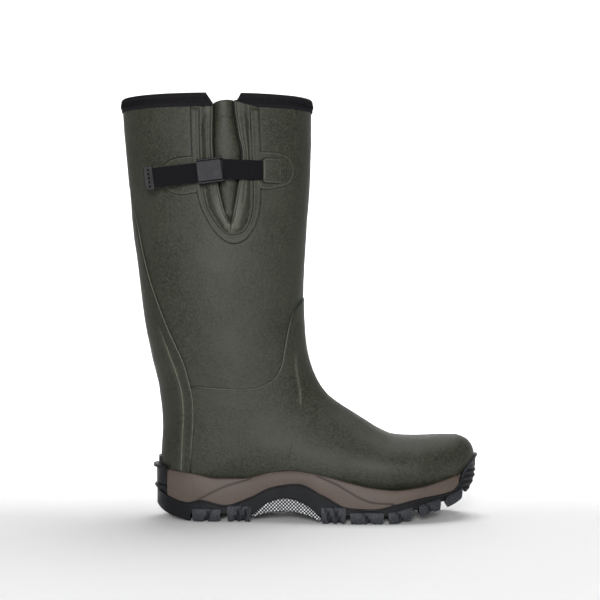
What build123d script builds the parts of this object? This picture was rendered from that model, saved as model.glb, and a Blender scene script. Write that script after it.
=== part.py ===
"""Tall insulated rubber hunting boot for the right foot, with an adjustable calf gusset.

Millimetres. +X points to the toe, +Y to the wearer's left (the inner side of the foot), +Z up.
The origin is the centre of the bounding box's bottom face, on the ground. The upper is one smooth
surface: every rubber, lining and stiffener layer lies between two offsets of it.
"""

from collections import namedtuple
from functools import cache
import math
import os

from build123d import *

# ---------------------------------------------------------------- driving dimensions
RIM_Z = 414.5  # top of the binding
FAR = 500.0  # reach of cutting shapes past the boot
TO_ORIGIN = (1.6, 4.9, 0.0)  # from the axes the boot is drawn in to the middle of its box

RUBBER = 2.2  # rubber wall of the shaft and the foot
OVERLAY = 1.2  # second rubber sheet on the foot and up the heel
LINING = 4.0  # neoprene
STIFFENER = 1.2  # toe puff and heel counter
BINDING = 1.3  # binding tape
BINDING_HEIGHT = 13.5
FRAME_THICK = 1.5  # raised U around the gusset
GUSSET_SINK = 0.8  # gusset face below the shaft face
GUSSET_THICK = 4.0
FOLD_WIDTH = 2.2
FOLD_DEPTH = 2.6
PATCH_THICK = 1.4
POCKET_THICK = 1.0

BOARD_THICK = 2.0
FOOTBED_THICK = 5.5
FOOTBED_FRONT = 146.0
FOOTBED_GAP = 0.5  # air round the loose footbed
BOARD_GAP = 0.15  # air between the footbed and the insole board
SHANK_THICK = 1.6
SHANK_WIDTH = 20.0
SHANK_SPAN = (-75.0, 30.0)

WEBBING_WIDTH = 19.0
WEBBING_THICK = 1.6
LOOP_THICK = 1.0  # lighter webbing that ties the buckle to the rear patch

BUCKLE_CENTRE = (-85.7, 338.7)  # X, Z
BUCKLE_TILT = -7.0  # degrees about Y: the rear end is lower
BUCKLE_LENGTH = 24.6
BUCKLE_WIDTH = 24.0
BUCKLE_INNER = 19.6
BUCKLE_FLOOR = (-56.1, -58.6)  # Y of the buckle floor's two faces
BUCKLE_RAIL_Y = -66.0
REAR_BAR_U = (-12.3, -8.5)
REAR_BAR_Y = -57.5
WEBBING_Y = -58.8  # boot side of the webbing inside the buckle
PIVOT_U = 9.0
PIVOT_Y = -63.4
PIVOT_R = 1.5
PIVOT_CLEARANCE = 0.05
CAM_R = 2.7
LEVER_U = (-12.3, 11.0)
LEVER_Y = (-64.0, -66.8)
LEVER_WIDTH = 19.0
TAIL_START_U = 9.6
TAIL_END_U = -60.0
TIP_U = (-63.4, -54.6)
TIP_WIDTH = 23.4
TIP_THICK = 4.2
TIP_HOLE_R = 1.15
TIP_HOLE_DEPTH = 1.3
TIP_HOLES = 5

# One cross-section of the upper: the line from its front (or top) point to its back (or bottom)
# point, the half widths to the outer (-Y) and inner (+Y) side, the Y of its ridge line, how boxy its
# two ends are (1 is an ellipse, less is boxier), and how far it pulls back along X when the section
# is offset inwards.
Station = namedtuple("Station", "front back outer inner ridge front_round back_round toe_pull")
STATIONS = [
    Station((12.0, 440.0), (-179.0, 440.0), 56.0, 56.0, 0.0, 1.0, 1.0, 0.0),
    Station((11.5, 395.0), (-176.5, 395.0), 55.0, 55.0, 0.0, 1.0, 1.0, 0.0),
    Station((10.5, 345.0), (-172.0, 345.0), 53.5, 53.5, 0.0, 1.0, 1.0, 0.0),
    Station((7.5, 295.0), (-166.5, 295.0), 51.5, 51.5, 0.0, 1.0, 1.0, 0.0),
    Station((4.5, 245.0), (-160.0, 245.0), 49.0, 49.0, 0.0, 1.0, 1.0, 0.0),
    Station((3.0, 205.0), (-154.5, 200.0), 46.5, 46.5, 0.0, 1.0, 1.0, 0.0),
    Station((5.0, 175.0), (-147.5, 163.0), 44.0, 44.0, 0.0, 1.0, 1.0, 0.0),
    Station((9.5, 153.0), (-139.0, 128.0), 42.0, 41.5, 0.0, 1.0, 1.0, 0.0),
    Station((16.0, 136.0), (-136.0, 92.0), 40.5, 39.5, 0.0, 1.0, 0.9, 0.0),
    Station((26.0, 121.5), (-137.0, 58.0), 40.0, 38.5, 0.0, 0.95, 0.72, 0.0),
    Station((38.0, 112.0), (-122.0, 32.0), 40.0, 37.5, 0.0, 0.9, 0.6, 0.0),
    Station((52.0, 103.0), (-72.0, 30.0), 41.0, 37.5, 0.5, 0.9, 0.58, 0.0),
    Station((66.0, 94.0), (-18.0, 25.0), 44.5, 39.5, 1.0, 0.9, 0.58, 0.0),
    Station((80.0, 85.5), (34.0, 20.5), 50.0, 44.5, 2.0, 0.9, 0.6, 0.0),
    Station((94.0, 80.0), (72.0, 19.0), 53.0, 45.0, 4.0, 0.88, 0.6, 0.0),
    Station((115.0, 78.5), (106.0, 20.5), 51.5, 41.5, 6.5, 0.85, 0.62, 0.2),
    Station((137.0, 79.0), (134.0, 25.0), 45.0, 35.0, 8.5, 0.85, 0.65, 0.45),
    Station((154.5, 79.0), (153.0, 29.5), 34.5, 26.5, 9.5, 0.85, 0.7, 0.75),
    Station((165.5, 75.5), (165.0, 34.0), 23.5, 18.5, 10.0, 0.9, 0.8, 0.9),
    Station((171.5, 68.5), (171.5, 40.0), 13.0, 11.0, 10.0, 1.0, 1.0, 1.0),
]
SECTION_POINTS = 16
SECTION_COUNT = 30
STEEPEST = 0.5  # least sine between a section's line and the outline it meets
LOFT_BREAKS = (0, 15, 24, 29)  # the upper is lofted in stretches, from section to section

# Lines on the boot's side, as (X, Z) points.
VAMP_SEAM = [(-107.4, 131.0), (-87.7, 129.5), (-56.6, 128.0), (-41.2, 129.5), (-25.8, 137.0),
             (-18.1, 149.2), (-15.0, 164.8), (-10.4, 189.6), (-4.9, 206.7), (4.0, 218.6)]
STAY_EDGE = [(-107.0, 47.8), (-106.0, 71.4), (-104.4, 94.8), (-104.8, 116.6), (-107.4, 131.0),
             (-114.4, 155.6), (-122.3, 172.6), (-134.1, 199.0), (-147.3, 234.9), (-160.2, 274.6)]
FRAME_OUTER = [(-106.5, 440.0), (-105.4, 392.0), (-104.0, 354.0), (-98.1, 313.0), (-89.5, 292.3),
               (-79.5, 277.7), (-66.5, 269.5), (-52.7, 273.2), (-42.5, 288.1), (-38.3, 304.4),
               (-37.5, 334.0), (-38.6, 378.3), (-41.5, 440.0)]
FRAME_INNER = [(-97.5, 440.0), (-96.5, 392.0), (-95.8, 354.0), (-90.8, 310.0), (-80.5, 289.4),
               (-72.8, 281.0), (-65.9, 278.4), (-59.0, 279.6), (-52.6, 283.6), (-47.0, 297.0),
               (-45.3, 319.0), (-47.4, 378.0), (-50.5, 440.0)]
REAR_FOLD = [(-84.0, 440.0), (-83.6, 397.0), (-83.2, 354.0), (-74.5, 307.0), (-67.4, 288.0)]
FRONT_FOLD = [(-64.0, 440.0), (-62.7, 401.0), (-59.1, 374.5), (-55.4, 352.6), (-60.6, 318.7),
              (-66.5, 286.5)]
BINDING_GAP = [(-90.5, 440.0), (-90.5, 414.5), (-84.0, 404.0), (-84.0, 395.0), (-62.0, 395.0),
               (-62.0, 406.0), (-56.0, 415.0), (-56.0, 440.0)]
GUSSET_TOP = 407.5
REAR_PATCH = [(-100.0, 355.0), (-115.0, 354.0), (-128.5, 350.5), (-134.1, 336.4), (-129.6, 322.7),
              (-117.0, 317.3), (-100.0, 318.5)]
FRONT_PATCH_ARC = [(-21.0, 358.6), (-10.5, 354.0), (-5.5, 342.4), (-9.8, 330.0), (-20.0, 324.6)]
FRONT_PATCH_REAR_X = -42.0
POCKET = (-36.7, -19.4, 328.2, 352.4)  # X from, to, Z from, to
SPAN_LINE = [(-22.0, -43.2), (-37.0, -49.4), (-46.0, -53.0), (-58.0, -57.2), (-68.0, -58.9),
             (-74.0, -59.0)]

SOLE_PLAN = [(-143.0, 0.0), (-137.0, -17.0), (-122.0, -30.0), (-98.0, -37.5), (-60.0, -38.5),
             (-20.0, -43.0), (20.0, -50.0), (55.0, -54.5), (90.0, -53.5), (120.0, -46.5),
             (148.0, -32.0), (166.0, -14.0), (175.5, 8.0), (171.0, 25.0), (156.0, 38.5),
             (130.0, 47.0), (95.0, 52.0), (55.0, 51.0), (15.0, 44.5), (-20.0, 39.0),
             (-60.0, 37.0), (-98.0, 36.0), (-122.0, 29.0), (-137.0, 16.0)]
MIDSOLE_TOP = [(-160.0, 53.0), (-130.0, 48.5), (-104.0, 45.5), (-80.0, 41.2), (-57.0, 41.2),
               (-26.0, 48.0), (-8.0, 49.3), (23.0, 44.5), (47.0, 38.5), (70.0, 33.5),
               (94.0, 31.2), (118.0, 33.6), (142.0, 39.0), (180.0, 50.0)]
OUTSOLE_TOP = [(-160.0, 46.0), (-142.0, 31.0), (-132.0, 24.0), (-110.0, 17.6), (-96.6, 20.0),
               (-73.0, 15.2), (-49.6, 22.6), (-26.0, 33.6), (-2.4, 37.0), (23.0, 26.0),
               (46.5, 14.7), (70.0, 13.4), (93.0, 18.1), (116.5, 23.3), (148.0, 28.1),
               (156.0, 35.0), (160.5, 46.0), (168.0, 54.0), (182.0, 66.0)]
TREAD_LINE = [(-160.0, 30.0), (-143.0, 13.0), (-132.0, 6.5), (-118.0, 2.5), (-104.0, 0.0)]
TOE_SPRING = [(88.0, 0.0), (108.0, 4.5), (131.0, 10.0), (150.0, 16.5), (162.0, 24.5),
              (172.0, 36.0), (186.0, 60.0)]
ARCH_UNDERSIDE = [(-46.5, 4.5), (-30.0, 9.0), (-12.0, 10.6), (5.0, 7.6), (20.0, 2.0)]
ARCH_PLATE_TOP = [(-46.5, 5.5), (-32.0, 18.0), (-14.0, 23.0), (4.0, 18.0), (20.0, 4.0)]
GROOVES = [(-106.0, 3.0), (-75.0, 4.5), (46.0, 4.5), (82.5, 4.5), (111.0, 5.0), (139.5, 4.5)]
GROOVE_DEPTH = 7.0
SPLITS = ((-100.0, -52.0), (28.0, 150.0))  # along the middle of the tread: X from, to
SPLIT_WIDTH = 4.0

UPPER_BOTTOM = [(-150.0, 34.0), (-122.0, 32.0), (-72.0, 30.0), (-18.0, 25.0), (34.0, 20.5),
                (72.0, 19.0), (106.0, 20.5), (134.0, 25.0), (153.0, 29.5), (180.0, 40.0)]
TOE_PUFF_X = 118.0
HEEL_COUNTER = (-98.0, 92.0)  # in front of X, up to Z
STIFFENER_FOOT = 36.0
KICK_PLATE_X = -131.0
KICK_PLATE_Z = (24.0, 53.0)
KICK_TAB = (60.5, 12.0, 3.0)  # top Z, half width, thickness
FIN_Z = ((29.5, 33.0), (50.2, 53.0))
FIN_REACH = 3.2


# ---------------------------------------------------------------- the upper's surface
def smooth_steps(places, values, wanted):
    """Values at the wanted places, on a smooth curve that never swings past its own points."""
    slopes = [(b - a) / (q - p) for a, b, p, q in zip(values, values[1:], places, places[1:])]
    bends = [slopes[0]]
    for before, after in zip(slopes, slopes[1:]):
        bends.append(2 * before * after / (before + after) if before * after > 0 else 0.0)
    bends.append(slopes[-1])
    found = []
    for place in wanted:
        i = max(k for k in range(len(places) - 1) if places[k] <= place + 1e-9)
        step = places[i + 1] - places[i]
        t = (place - places[i]) / step
        found.append(
            values[i] * (1 + 2 * t) * (1 - t) ** 2
            + values[i + 1] * t * t * (3 - 2 * t)
            + step * t * (1 - t) * (bends[i] * (1 - t) - bends[i + 1] * t)
        )
    return found


def stretches(ends, lines):
    """How much further an end of each section moves along its line than the layer is thick."""
    found = []
    for i, line in enumerate(lines):
        before, after = ends[max(i - 1, 0)], ends[min(i + 1, len(ends) - 1)]
        path = (after - before).normalized()
        square = abs(path.X * line.Z - path.Z * line.X)
        found.append(1 / max(square, STEEPEST))
    return found


@cache
def even_stations():
    """The stations above, filled in smoothly and spaced evenly along the boot, each with its front
    and back point, the line between them and the stretch of an offset at either end."""
    rows = [(*s.front, *s.back, *s[2:]) for s in STATIONS]
    places = [0.0]
    for a, b in zip(rows, rows[1:]):
        places.append(places[-1] + math.dist(a[:2], b[:2]) + math.dist(a[2:4], b[2:4]))
    wanted = [places[-1] * i / (SECTION_COUNT - 1) for i in range(SECTION_COUNT)]
    columns = [smooth_steps(places, [row[k] for row in rows], wanted) for k in range(len(rows[0]))]
    filled = [Station((a, b), (c, d), *rest) for a, b, c, d, *rest in zip(*columns)]
    fronts = [Vector(s.front[0], s.ridge, s.front[1]) for s in filled]
    backs = [Vector(s.back[0], s.ridge, s.back[1]) for s in filled]
    lines = [(b - f).normalized() for f, b in zip(fronts, backs)]
    return list(zip(filled, fronts, backs, lines, stretches(fronts, lines), stretches(backs, lines)))


def section(place, offset):
    """Closed curve of one cross-section, offset outwards (or inwards, if negative)."""
    station, front, back, line, front_stretch, back_stretch = place
    front = front - line * (offset * front_stretch)
    back = back + line * (offset * back_stretch)
    centre = (front + back) * 0.5 + Vector(station.toe_pull * offset, 0, 0)
    half_length = (back - front).length / 2
    points = []
    for i in range(SECTION_POINTS):
        turn = 2 * math.pi * i / SECTION_POINTS
        lengthwise, sideways = math.cos(turn), math.sin(turn)
        roundness = station.back_round if lengthwise > 0 else station.front_round
        power = 1 + (roundness - 1) * abs(lengthwise) ** 0.5
        width = (station.inner if sideways > 0 else station.outer) + offset
        across = math.copysign(abs(sideways) ** power, sideways) * width
        points.append(centre + line * (half_length * lengthwise) + Vector(0, across, 0))
    return Wire([Edge.make_spline(points, periodic=True)])


@cache
def shaft(offset):
    """Solid of the leg part inside one layer's surface, running past the rim."""
    wires = [section(place, offset) for place in even_stations()]
    return Solid.make_loft(wires[: LOFT_BREAKS[1] + 1])


@cache
def upper(offset):
    """Solid of the whole upper inside one layer's surface, running past the rim."""
    wires = [section(place, offset) for place in even_stations()]
    stretches = [Solid.make_loft(wires[a : b + 1]) for a, b in zip(LOFT_BREAKS, LOFT_BREAKS[1:])]
    return stretches[0] + stretches[1] + stretches[2]


# ---------------------------------------------------------------- shapes that cut it
def side_prism(lines, y_from=-FAR, y_to=FAR):
    """Prism across the boot. Its outline joins the lines end to end: a smooth curve through each
    line of three or more points, a straight edge for two, and straight edges between lines."""
    edges = []
    for line, following in zip(lines, lines[1:] + lines[:1]):
        points = [Vector(x, y_from, z) for x, z in line]
        if len(points) > 2:
            edges.append(Edge.make_spline(points))
        elif len(points) == 2:
            edges.append(Edge.make_line(*points))
        start = Vector(following[0][0], y_from, following[0][1])
        if (start - points[-1]).length > 1e-6:
            edges.append(Edge.make_line(points[-1], start))
    return extrude(Face(Wire(edges)), amount=y_to - y_from, dir=(0, 1, 0))


def below(line):
    """Everything under a line drawn on the boot's side."""
    return side_prism([line, [(line[-1][0], -FAR), (line[0][0], -FAR)]])


def block(x, y, z):
    """Box from its ranges along X, Y and Z."""
    size = [abs(r[1] - r[0]) for r in (x, y, z)]
    middle = [(r[0] + r[1]) / 2 for r in (x, y, z)]
    return Pos(*middle) * Box(*size)


def under_rim(top):
    return block((-FAR, FAR), (-FAR, FAR), (-FAR, top))


OUTER_SIDE = (-FAR, 0.0)


def gusset_opening(line):
    """The U outline of the gusset, through the outer side of the shaft only."""
    return side_prism([line], *OUTER_SIDE)


def stay_region():
    return side_prism([STAY_EDGE, [(-FAR, 300.0)], [(-FAR, -FAR)], [(STAY_EDGE[0][0], -FAR)]])


def foot_region():
    """Below the vamp seam, which runs on level round the heel."""
    level = [(-FAR, VAMP_SEAM[0][1])]
    return side_prism([level, VAMP_SEAM, [(FAR, VAMP_SEAM[-1][1])], [(FAR, -FAR)], [(-FAR, -FAR)]])


def vamp_region():
    """The foot ahead of the back stay."""
    return foot_region() - stay_region()


def sole_prism(z_from, z_to, shift=0.0):
    points = [Vector(x + shift, y, z_from) for x, y in SOLE_PLAN]
    face = Face(Wire([Edge.make_spline(points, periodic=True)]))
    return extrude(face, amount=z_to - z_from, dir=(0, 0, 1))


def in_buckle(shape):
    """Places a shape drawn about the buckle's centre, with X along the strap and Z across it."""
    return Pos(BUCKLE_CENTRE[0], 0, BUCKLE_CENTRE[1]) * Rot(0, BUCKLE_TILT, 0) * shape


def strap_bar(u, y, width):
    """Straight length of strap in the buckle's own directions."""
    return block(u, y, (-width / 2, width / 2))


# ---------------------------------------------------------------- the layers of the upper
def make_upper():
    face, rubber_inside = upper(0.0), upper(-RUBBER)
    skin, lining_inside = upper(OVERLAY), upper(-RUBBER - LINING)
    stiff_inside = upper(-RUBBER - STIFFENER)
    opening = gusset_opening(FRAME_INNER)
    rim = under_rim(RIM_Z - BINDING)

    rubber = (face & rim) - rubber_inside
    overlay = skin - face
    stiffener = rubber_inside - stiff_inside
    floor = [(x, z + RUBBER + BOARD_THICK) for x, z in UPPER_BOTTOM]
    board = rubber_inside & below(floor)
    stiffener -= board
    puff = stiffener & block((TOE_PUFF_X, FAR), (-FAR, FAR), (STIFFENER_FOOT, FAR))
    counter = stiffener & block((-FAR, HEEL_COUNTER[0]), (-FAR, FAR), (STIFFENER_FOOT, HEEL_COUNTER[1]))
    lining = (rubber_inside & rim) - lining_inside - board - puff - counter - opening

    footbed_side = upper(-RUBBER - LINING - FOOTBED_GAP)
    footbed_top = [(x, z + RUBBER + LINING + FOOTBED_GAP + FOOTBED_THICK) for x, z in UPPER_BOTTOM]
    footbed = footbed_side & below(footbed_top) & block((-FAR, FOOTBED_FRONT), (-FAR, FAR), (-FAR, FAR))
    footbed -= below([(x, z + BOARD_GAP) for x, z in floor])
    return {
        "shaft_shell": rubber - foot_region() - opening,
        "foot_shell": rubber & foot_region(),
        "vamp_overlay": overlay & vamp_region(),
        "back_stay": overlay & stay_region(),
        "neoprene_lining": lining,
        "toe_puff": puff,
        "heel_counter": counter,
        "insole_board": board,
        "footbed": footbed,
    }


def make_rim_and_gusset():
    face = shaft(0.0)
    opening = gusset_opening(FRAME_INNER)
    rim = under_rim(RIM_Z - BINDING)
    band = block((-FAR, FAR), (-FAR, FAR), (RIM_Z - BINDING_HEIGHT, RIM_Z))
    wall = (face & rim) - shaft(-RUBBER - LINING)
    gap = side_prism([[point] for point in BINDING_GAP], *OUTER_SIDE)
    binding = (shaft(BINDING) & band) - shaft(-RUBBER - LINING - BINDING) - wall - gap

    panel = shaft(-GUSSET_SINK) - shaft(-GUSSET_SINK - GUSSET_THICK)
    above_panel = block((-FAR, FAR), OUTER_SIDE, (GUSSET_TOP, FAR))
    panel = (panel & opening & rim) - (gap & above_panel)
    fold_floor = shaft(-GUSSET_SINK - FOLD_DEPTH)
    for fold in (REAR_FOLD, FRONT_FOLD):
        wider = [(x + FOLD_WIDTH, z) for x, z in reversed(fold)]
        panel -= side_prism([fold, wider], *OUTER_SIDE) - fold_floor

    around = gusset_opening(FRAME_OUTER)
    frame = ((shaft(FRAME_THICK) - face) & around) - opening
    frame -= block((-FAR, FAR), (-FAR, FAR), (RIM_Z - BINDING_HEIGHT, FAR))
    return {"top_binding": binding, "gusset_panel": panel, "gusset_frame": frame}


# ---------------------------------------------------------------- strap and buckle
def make_straps():
    face, patch_face = shaft(0.0), shaft(PATCH_THICK)
    around = gusset_opening(FRAME_OUTER)
    sheet = patch_face - face
    rear_patch = (sheet & side_prism([REAR_PATCH], *OUTER_SIDE)) - around

    inner = [Vector(x, y, 0) for x, y in SPAN_LINE]
    outer = [Vector(x, y - WEBBING_THICK, 0) for x, y in SPAN_LINE]
    outline = [Edge.make_spline(inner), Edge.make_line(inner[-1], outer[-1])]
    outline += [Edge.make_spline(outer), Edge.make_line(inner[0], outer[0])]
    span_z = BUCKLE_CENTRE[1] + 1.9 - WEBBING_WIDTH / 2
    span = Pos(0, 0, span_z) * extrude(Face(Wire(outline)), amount=WEBBING_WIDTH, dir=(0, 0, 1))

    rear_x = FRONT_PATCH_REAR_X
    tops = [(rear_x, FRONT_PATCH_ARC[0][1]), (rear_x, FRONT_PATCH_ARC[-1][1])]
    front_patch = sheet & side_prism([FRONT_PATCH_ARC, tops[1:], tops[:1]], *OUTER_SIDE)
    x_from, x_to, z_from, z_to = POCKET
    pocket_face = shaft(PATCH_THICK + WEBBING_THICK + POCKET_THICK)
    pocket = (pocket_face - face) & block((x_from, x_to), OUTER_SIDE, (z_from, z_to))
    front_patch = (front_patch + pocket) - around - span

    loop_outline = [(-7.4, -58.5), (-13.0, -58.5), (-19.0, -56.0), (-26.0, -54.0), (-34.0, -51.0),
                    (-34.0, -47.0), (-19.0, -52.5), (-15.0, -54.9), (-7.4, -54.9)]
    eye_outline = [(-8.4, -56.0), (-8.4, -57.55), (-12.6, -57.55), (-15.5, -56.4), (-12.6, -56.0)]
    loop = loop_prism(loop_outline) - loop_prism(eye_outline)
    loop = in_buckle(loop) - patch_face - shaft(FRAME_THICK)
    return {
        "rear_strap_patch": rear_patch,
        "front_strap_patch": front_patch,
        "strap_span": span,
        "anchor_loop": loop,
    }


def loop_prism(points):
    """Prism across the strap from an outline in its lengthwise plane."""
    half = WEBBING_WIDTH / 2 - 0.5
    outline = Wire.make_polygon([Vector(u, y, -half) for u, y in points], close=True)
    return extrude(Face(outline), amount=2 * half, dir=(0, 0, 1))


def make_buckle():
    half_length, half_width = BUCKLE_LENGTH / 2, BUCKLE_WIDTH / 2
    body = block((-half_length, half_length), (BUCKLE_FLOOR[0], BUCKLE_RAIL_Y), (-half_width, half_width))
    inside = BUCKLE_INNER / 2
    body -= block((-FAR, FAR), (BUCKLE_FLOOR[1], -FAR), (-inside, inside))
    slot_u = (REAR_BAR_U[1], REAR_BAR_U[1] + 1.4)
    body -= block(slot_u, (-FAR, 0), (-inside, inside))
    body -= block((-FAR, slot_u[1]), (REAR_BAR_Y, BUCKLE_FLOOR[1]), (-inside, inside))
    rails = [e for e in body.edges().filter_by(Axis.X) if abs(e.center().Y - BUCKLE_RAIL_Y) < 0.01]
    body = fillet(rails, 0.7)
    pin = Pos(PIVOT_U, PIVOT_Y, 0) * Cylinder(PIVOT_R, BUCKLE_WIDTH)
    body -= Pos(PIVOT_U, PIVOT_Y, 0) * Cylinder(PIVOT_R + PIVOT_CLEARANCE, BUCKLE_WIDTH + 2)

    plate = strap_bar(LEVER_U, LEVER_Y, LEVER_WIDTH)
    plate = fillet(plate.edges().filter_by(Axis.Y), 1.0)
    plate = chamfer(plate.faces().sort_by(Axis.Y)[0].edges(), 0.5)
    cam = Pos(PIVOT_U, PIVOT_Y, 0) * Cylinder(CAM_R, LEVER_WIDTH)
    lever = plate + cam + pin

    tail_y = (WEBBING_Y, WEBBING_Y - WEBBING_THICK)
    tail = strap_bar((TAIL_END_U, TAIL_START_U), tail_y, WEBBING_WIDTH)
    middle = WEBBING_Y - WEBBING_THICK / 2
    tip = strap_bar(TIP_U, (middle + TIP_THICK / 2, middle - TIP_THICK / 2), TIP_WIDTH)
    tip = fillet(tip.edges().filter_by(Axis.Y), 1.4)
    tip = chamfer(tip.faces().sort_by(Axis.Y)[0].edges(), 0.5)
    pitch = TIP_WIDTH / (TIP_HOLES + 1)
    for i in range(TIP_HOLES):
        place = (i - (TIP_HOLES - 1) / 2) * pitch
        hole = Pos(sum(TIP_U) / 2, middle - TIP_THICK / 2, place) * Rot(90, 0, 0)
        tip -= hole * Cylinder(TIP_HOLE_R, 2 * TIP_HOLE_DEPTH)
    tip -= tail
    return {
        "buckle_frame": in_buckle(body),
        "buckle_lever": in_buckle(lever),
        "strap_tail": in_buckle(tail),
        "strap_tip": in_buckle(tip),
    }


# ---------------------------------------------------------------- the sole
def tread_cut():
    """Everything under the tread: heel radius, flat lugs, raised arch and toe spring."""
    start, end = TREAD_LINE[0], TOE_SPRING[-1]
    arch = [(ARCH_UNDERSIDE[0][0], 0.0)]
    return side_prism([TREAD_LINE, arch, ARCH_UNDERSIDE, [(ARCH_UNDERSIDE[-1][0], 0.0)], TOE_SPRING,
                       [(end[0], -FAR)], [(start[0], -FAR)]])


def groove_cut():
    """Bar grooves across the tread and a split along its middle."""
    cuts = []
    for x, width in GROOVES:
        lift = max([z for px, z in TOE_SPRING if px <= x] + [0.0])
        cuts.append(block((x - width / 2, x + width / 2), (-FAR, FAR), (-FAR, lift + GROOVE_DEPTH)))
    for split in SPLITS:
        cuts.append(block(split, (-SPLIT_WIDTH / 2, SPLIT_WIDTH / 2), (-FAR, GROOVE_DEPTH)))
    return cuts


def make_sole():
    skin = upper(OVERLAY)
    shank_space = upper(OVERLAY + SHANK_THICK) - skin
    shank = shank_space & block(SHANK_SPAN, (-SHANK_WIDTH / 2, SHANK_WIDTH / 2), (0, 40.0))
    plan = sole_prism(0.0, 80.0) - tread_cut()
    plate_region = side_prism([ARCH_PLATE_TOP, [(20.0, -FAR)], [(-46.5, -FAR)]])

    lower = plan & below(OUTSOLE_TOP)
    plate = (lower & plate_region) - skin - shank
    outsole = lower - plate_region
    for cut in groove_cut():
        outsole -= cut
    outsole = outsole - skin - shank

    kick = kick_plate(skin)
    midsole = (plan & below(MIDSOLE_TOP)) - below(OUTSOLE_TOP) - skin - shank
    midsole -= block((-FAR, KICK_PLATE_X), (-FAR, FAR), (-FAR, FAR))
    midsole -= block((158.0, FAR), (-FAR, FAR), (-FAR, FAR))
    return {
        "outsole": outsole,
        "arch_plate": plate,
        "midsole": midsole,
        "heel_kick_plate": kick,
        "steel_shank": shank,
    }


def kick_plate(skin):
    """Block behind the heel with two ledges to push the boot off with, and a tab above it."""
    rear = block((-FAR, KICK_PLATE_X), (-FAR, FAR), (-FAR, FAR))
    plate = sole_prism(*KICK_PLATE_Z)
    for z_from, z_to in FIN_Z:
        plate += sole_prism(z_from, z_to, shift=-FIN_REACH)
    top, half_width, thick = KICK_TAB
    tab = upper(OVERLAY + thick) & block((-FAR, KICK_PLATE_X), (-half_width, half_width), (45.0, top))
    plate = (plate & rear) + tab
    return plate - below(OUTSOLE_TOP) - skin


# ---------------------------------------------------------------- the parts
def main():
    os.makedirs("parts", exist_ok=True)
    nodes = {}
    for make in (make_buckle, make_straps, make_rim_and_gusset, make_sole, make_upper):
        nodes.update(make())
    placed = {name: Pos(*TO_ORIGIN) * shape for name, shape in nodes.items()}
    for name, shape in placed.items():
        export_step(shape, f"parts/{name}.step")
    whole = Compound(children=list(placed.values())).bounding_box()
    print("box", whole.min, whole.max)


main()
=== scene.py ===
# Looks of the hunting boot. Shapes are drawn in the same millimetre axes as the CAD source, and
# metres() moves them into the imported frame. Every layer of rubber follows the upper's own surface.

import math

import bmesh
import bpy
import numpy as np
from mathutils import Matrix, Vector, noise


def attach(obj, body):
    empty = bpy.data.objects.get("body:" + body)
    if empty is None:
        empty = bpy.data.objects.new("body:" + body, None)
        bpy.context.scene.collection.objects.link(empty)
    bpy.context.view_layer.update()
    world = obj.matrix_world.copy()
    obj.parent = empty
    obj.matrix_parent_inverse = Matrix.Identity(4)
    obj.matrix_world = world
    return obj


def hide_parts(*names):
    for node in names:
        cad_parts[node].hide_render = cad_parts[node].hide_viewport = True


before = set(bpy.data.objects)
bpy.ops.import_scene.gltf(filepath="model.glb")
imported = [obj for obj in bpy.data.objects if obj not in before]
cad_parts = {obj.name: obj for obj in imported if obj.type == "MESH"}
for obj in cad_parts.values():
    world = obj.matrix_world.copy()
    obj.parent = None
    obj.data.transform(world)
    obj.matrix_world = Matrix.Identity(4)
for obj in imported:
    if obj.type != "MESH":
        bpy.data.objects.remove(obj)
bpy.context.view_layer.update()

# ---------------------------------------------------------------- sizes shared with the CAD source
TO_ORIGIN = np.array((1.6, 4.9, 0.0))
MM = 0.001
FAR = 500.0
RIM_Z = 414.5
RUBBER_TOP = RIM_Z - 1.3  # just under the binding's fold
RUBBER_THICK = 2.1
OVERLAY = 1.2  # how far the vamp and the back stay stand above the shaft
LINING_FACES = (-2.3, -6.1)

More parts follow.
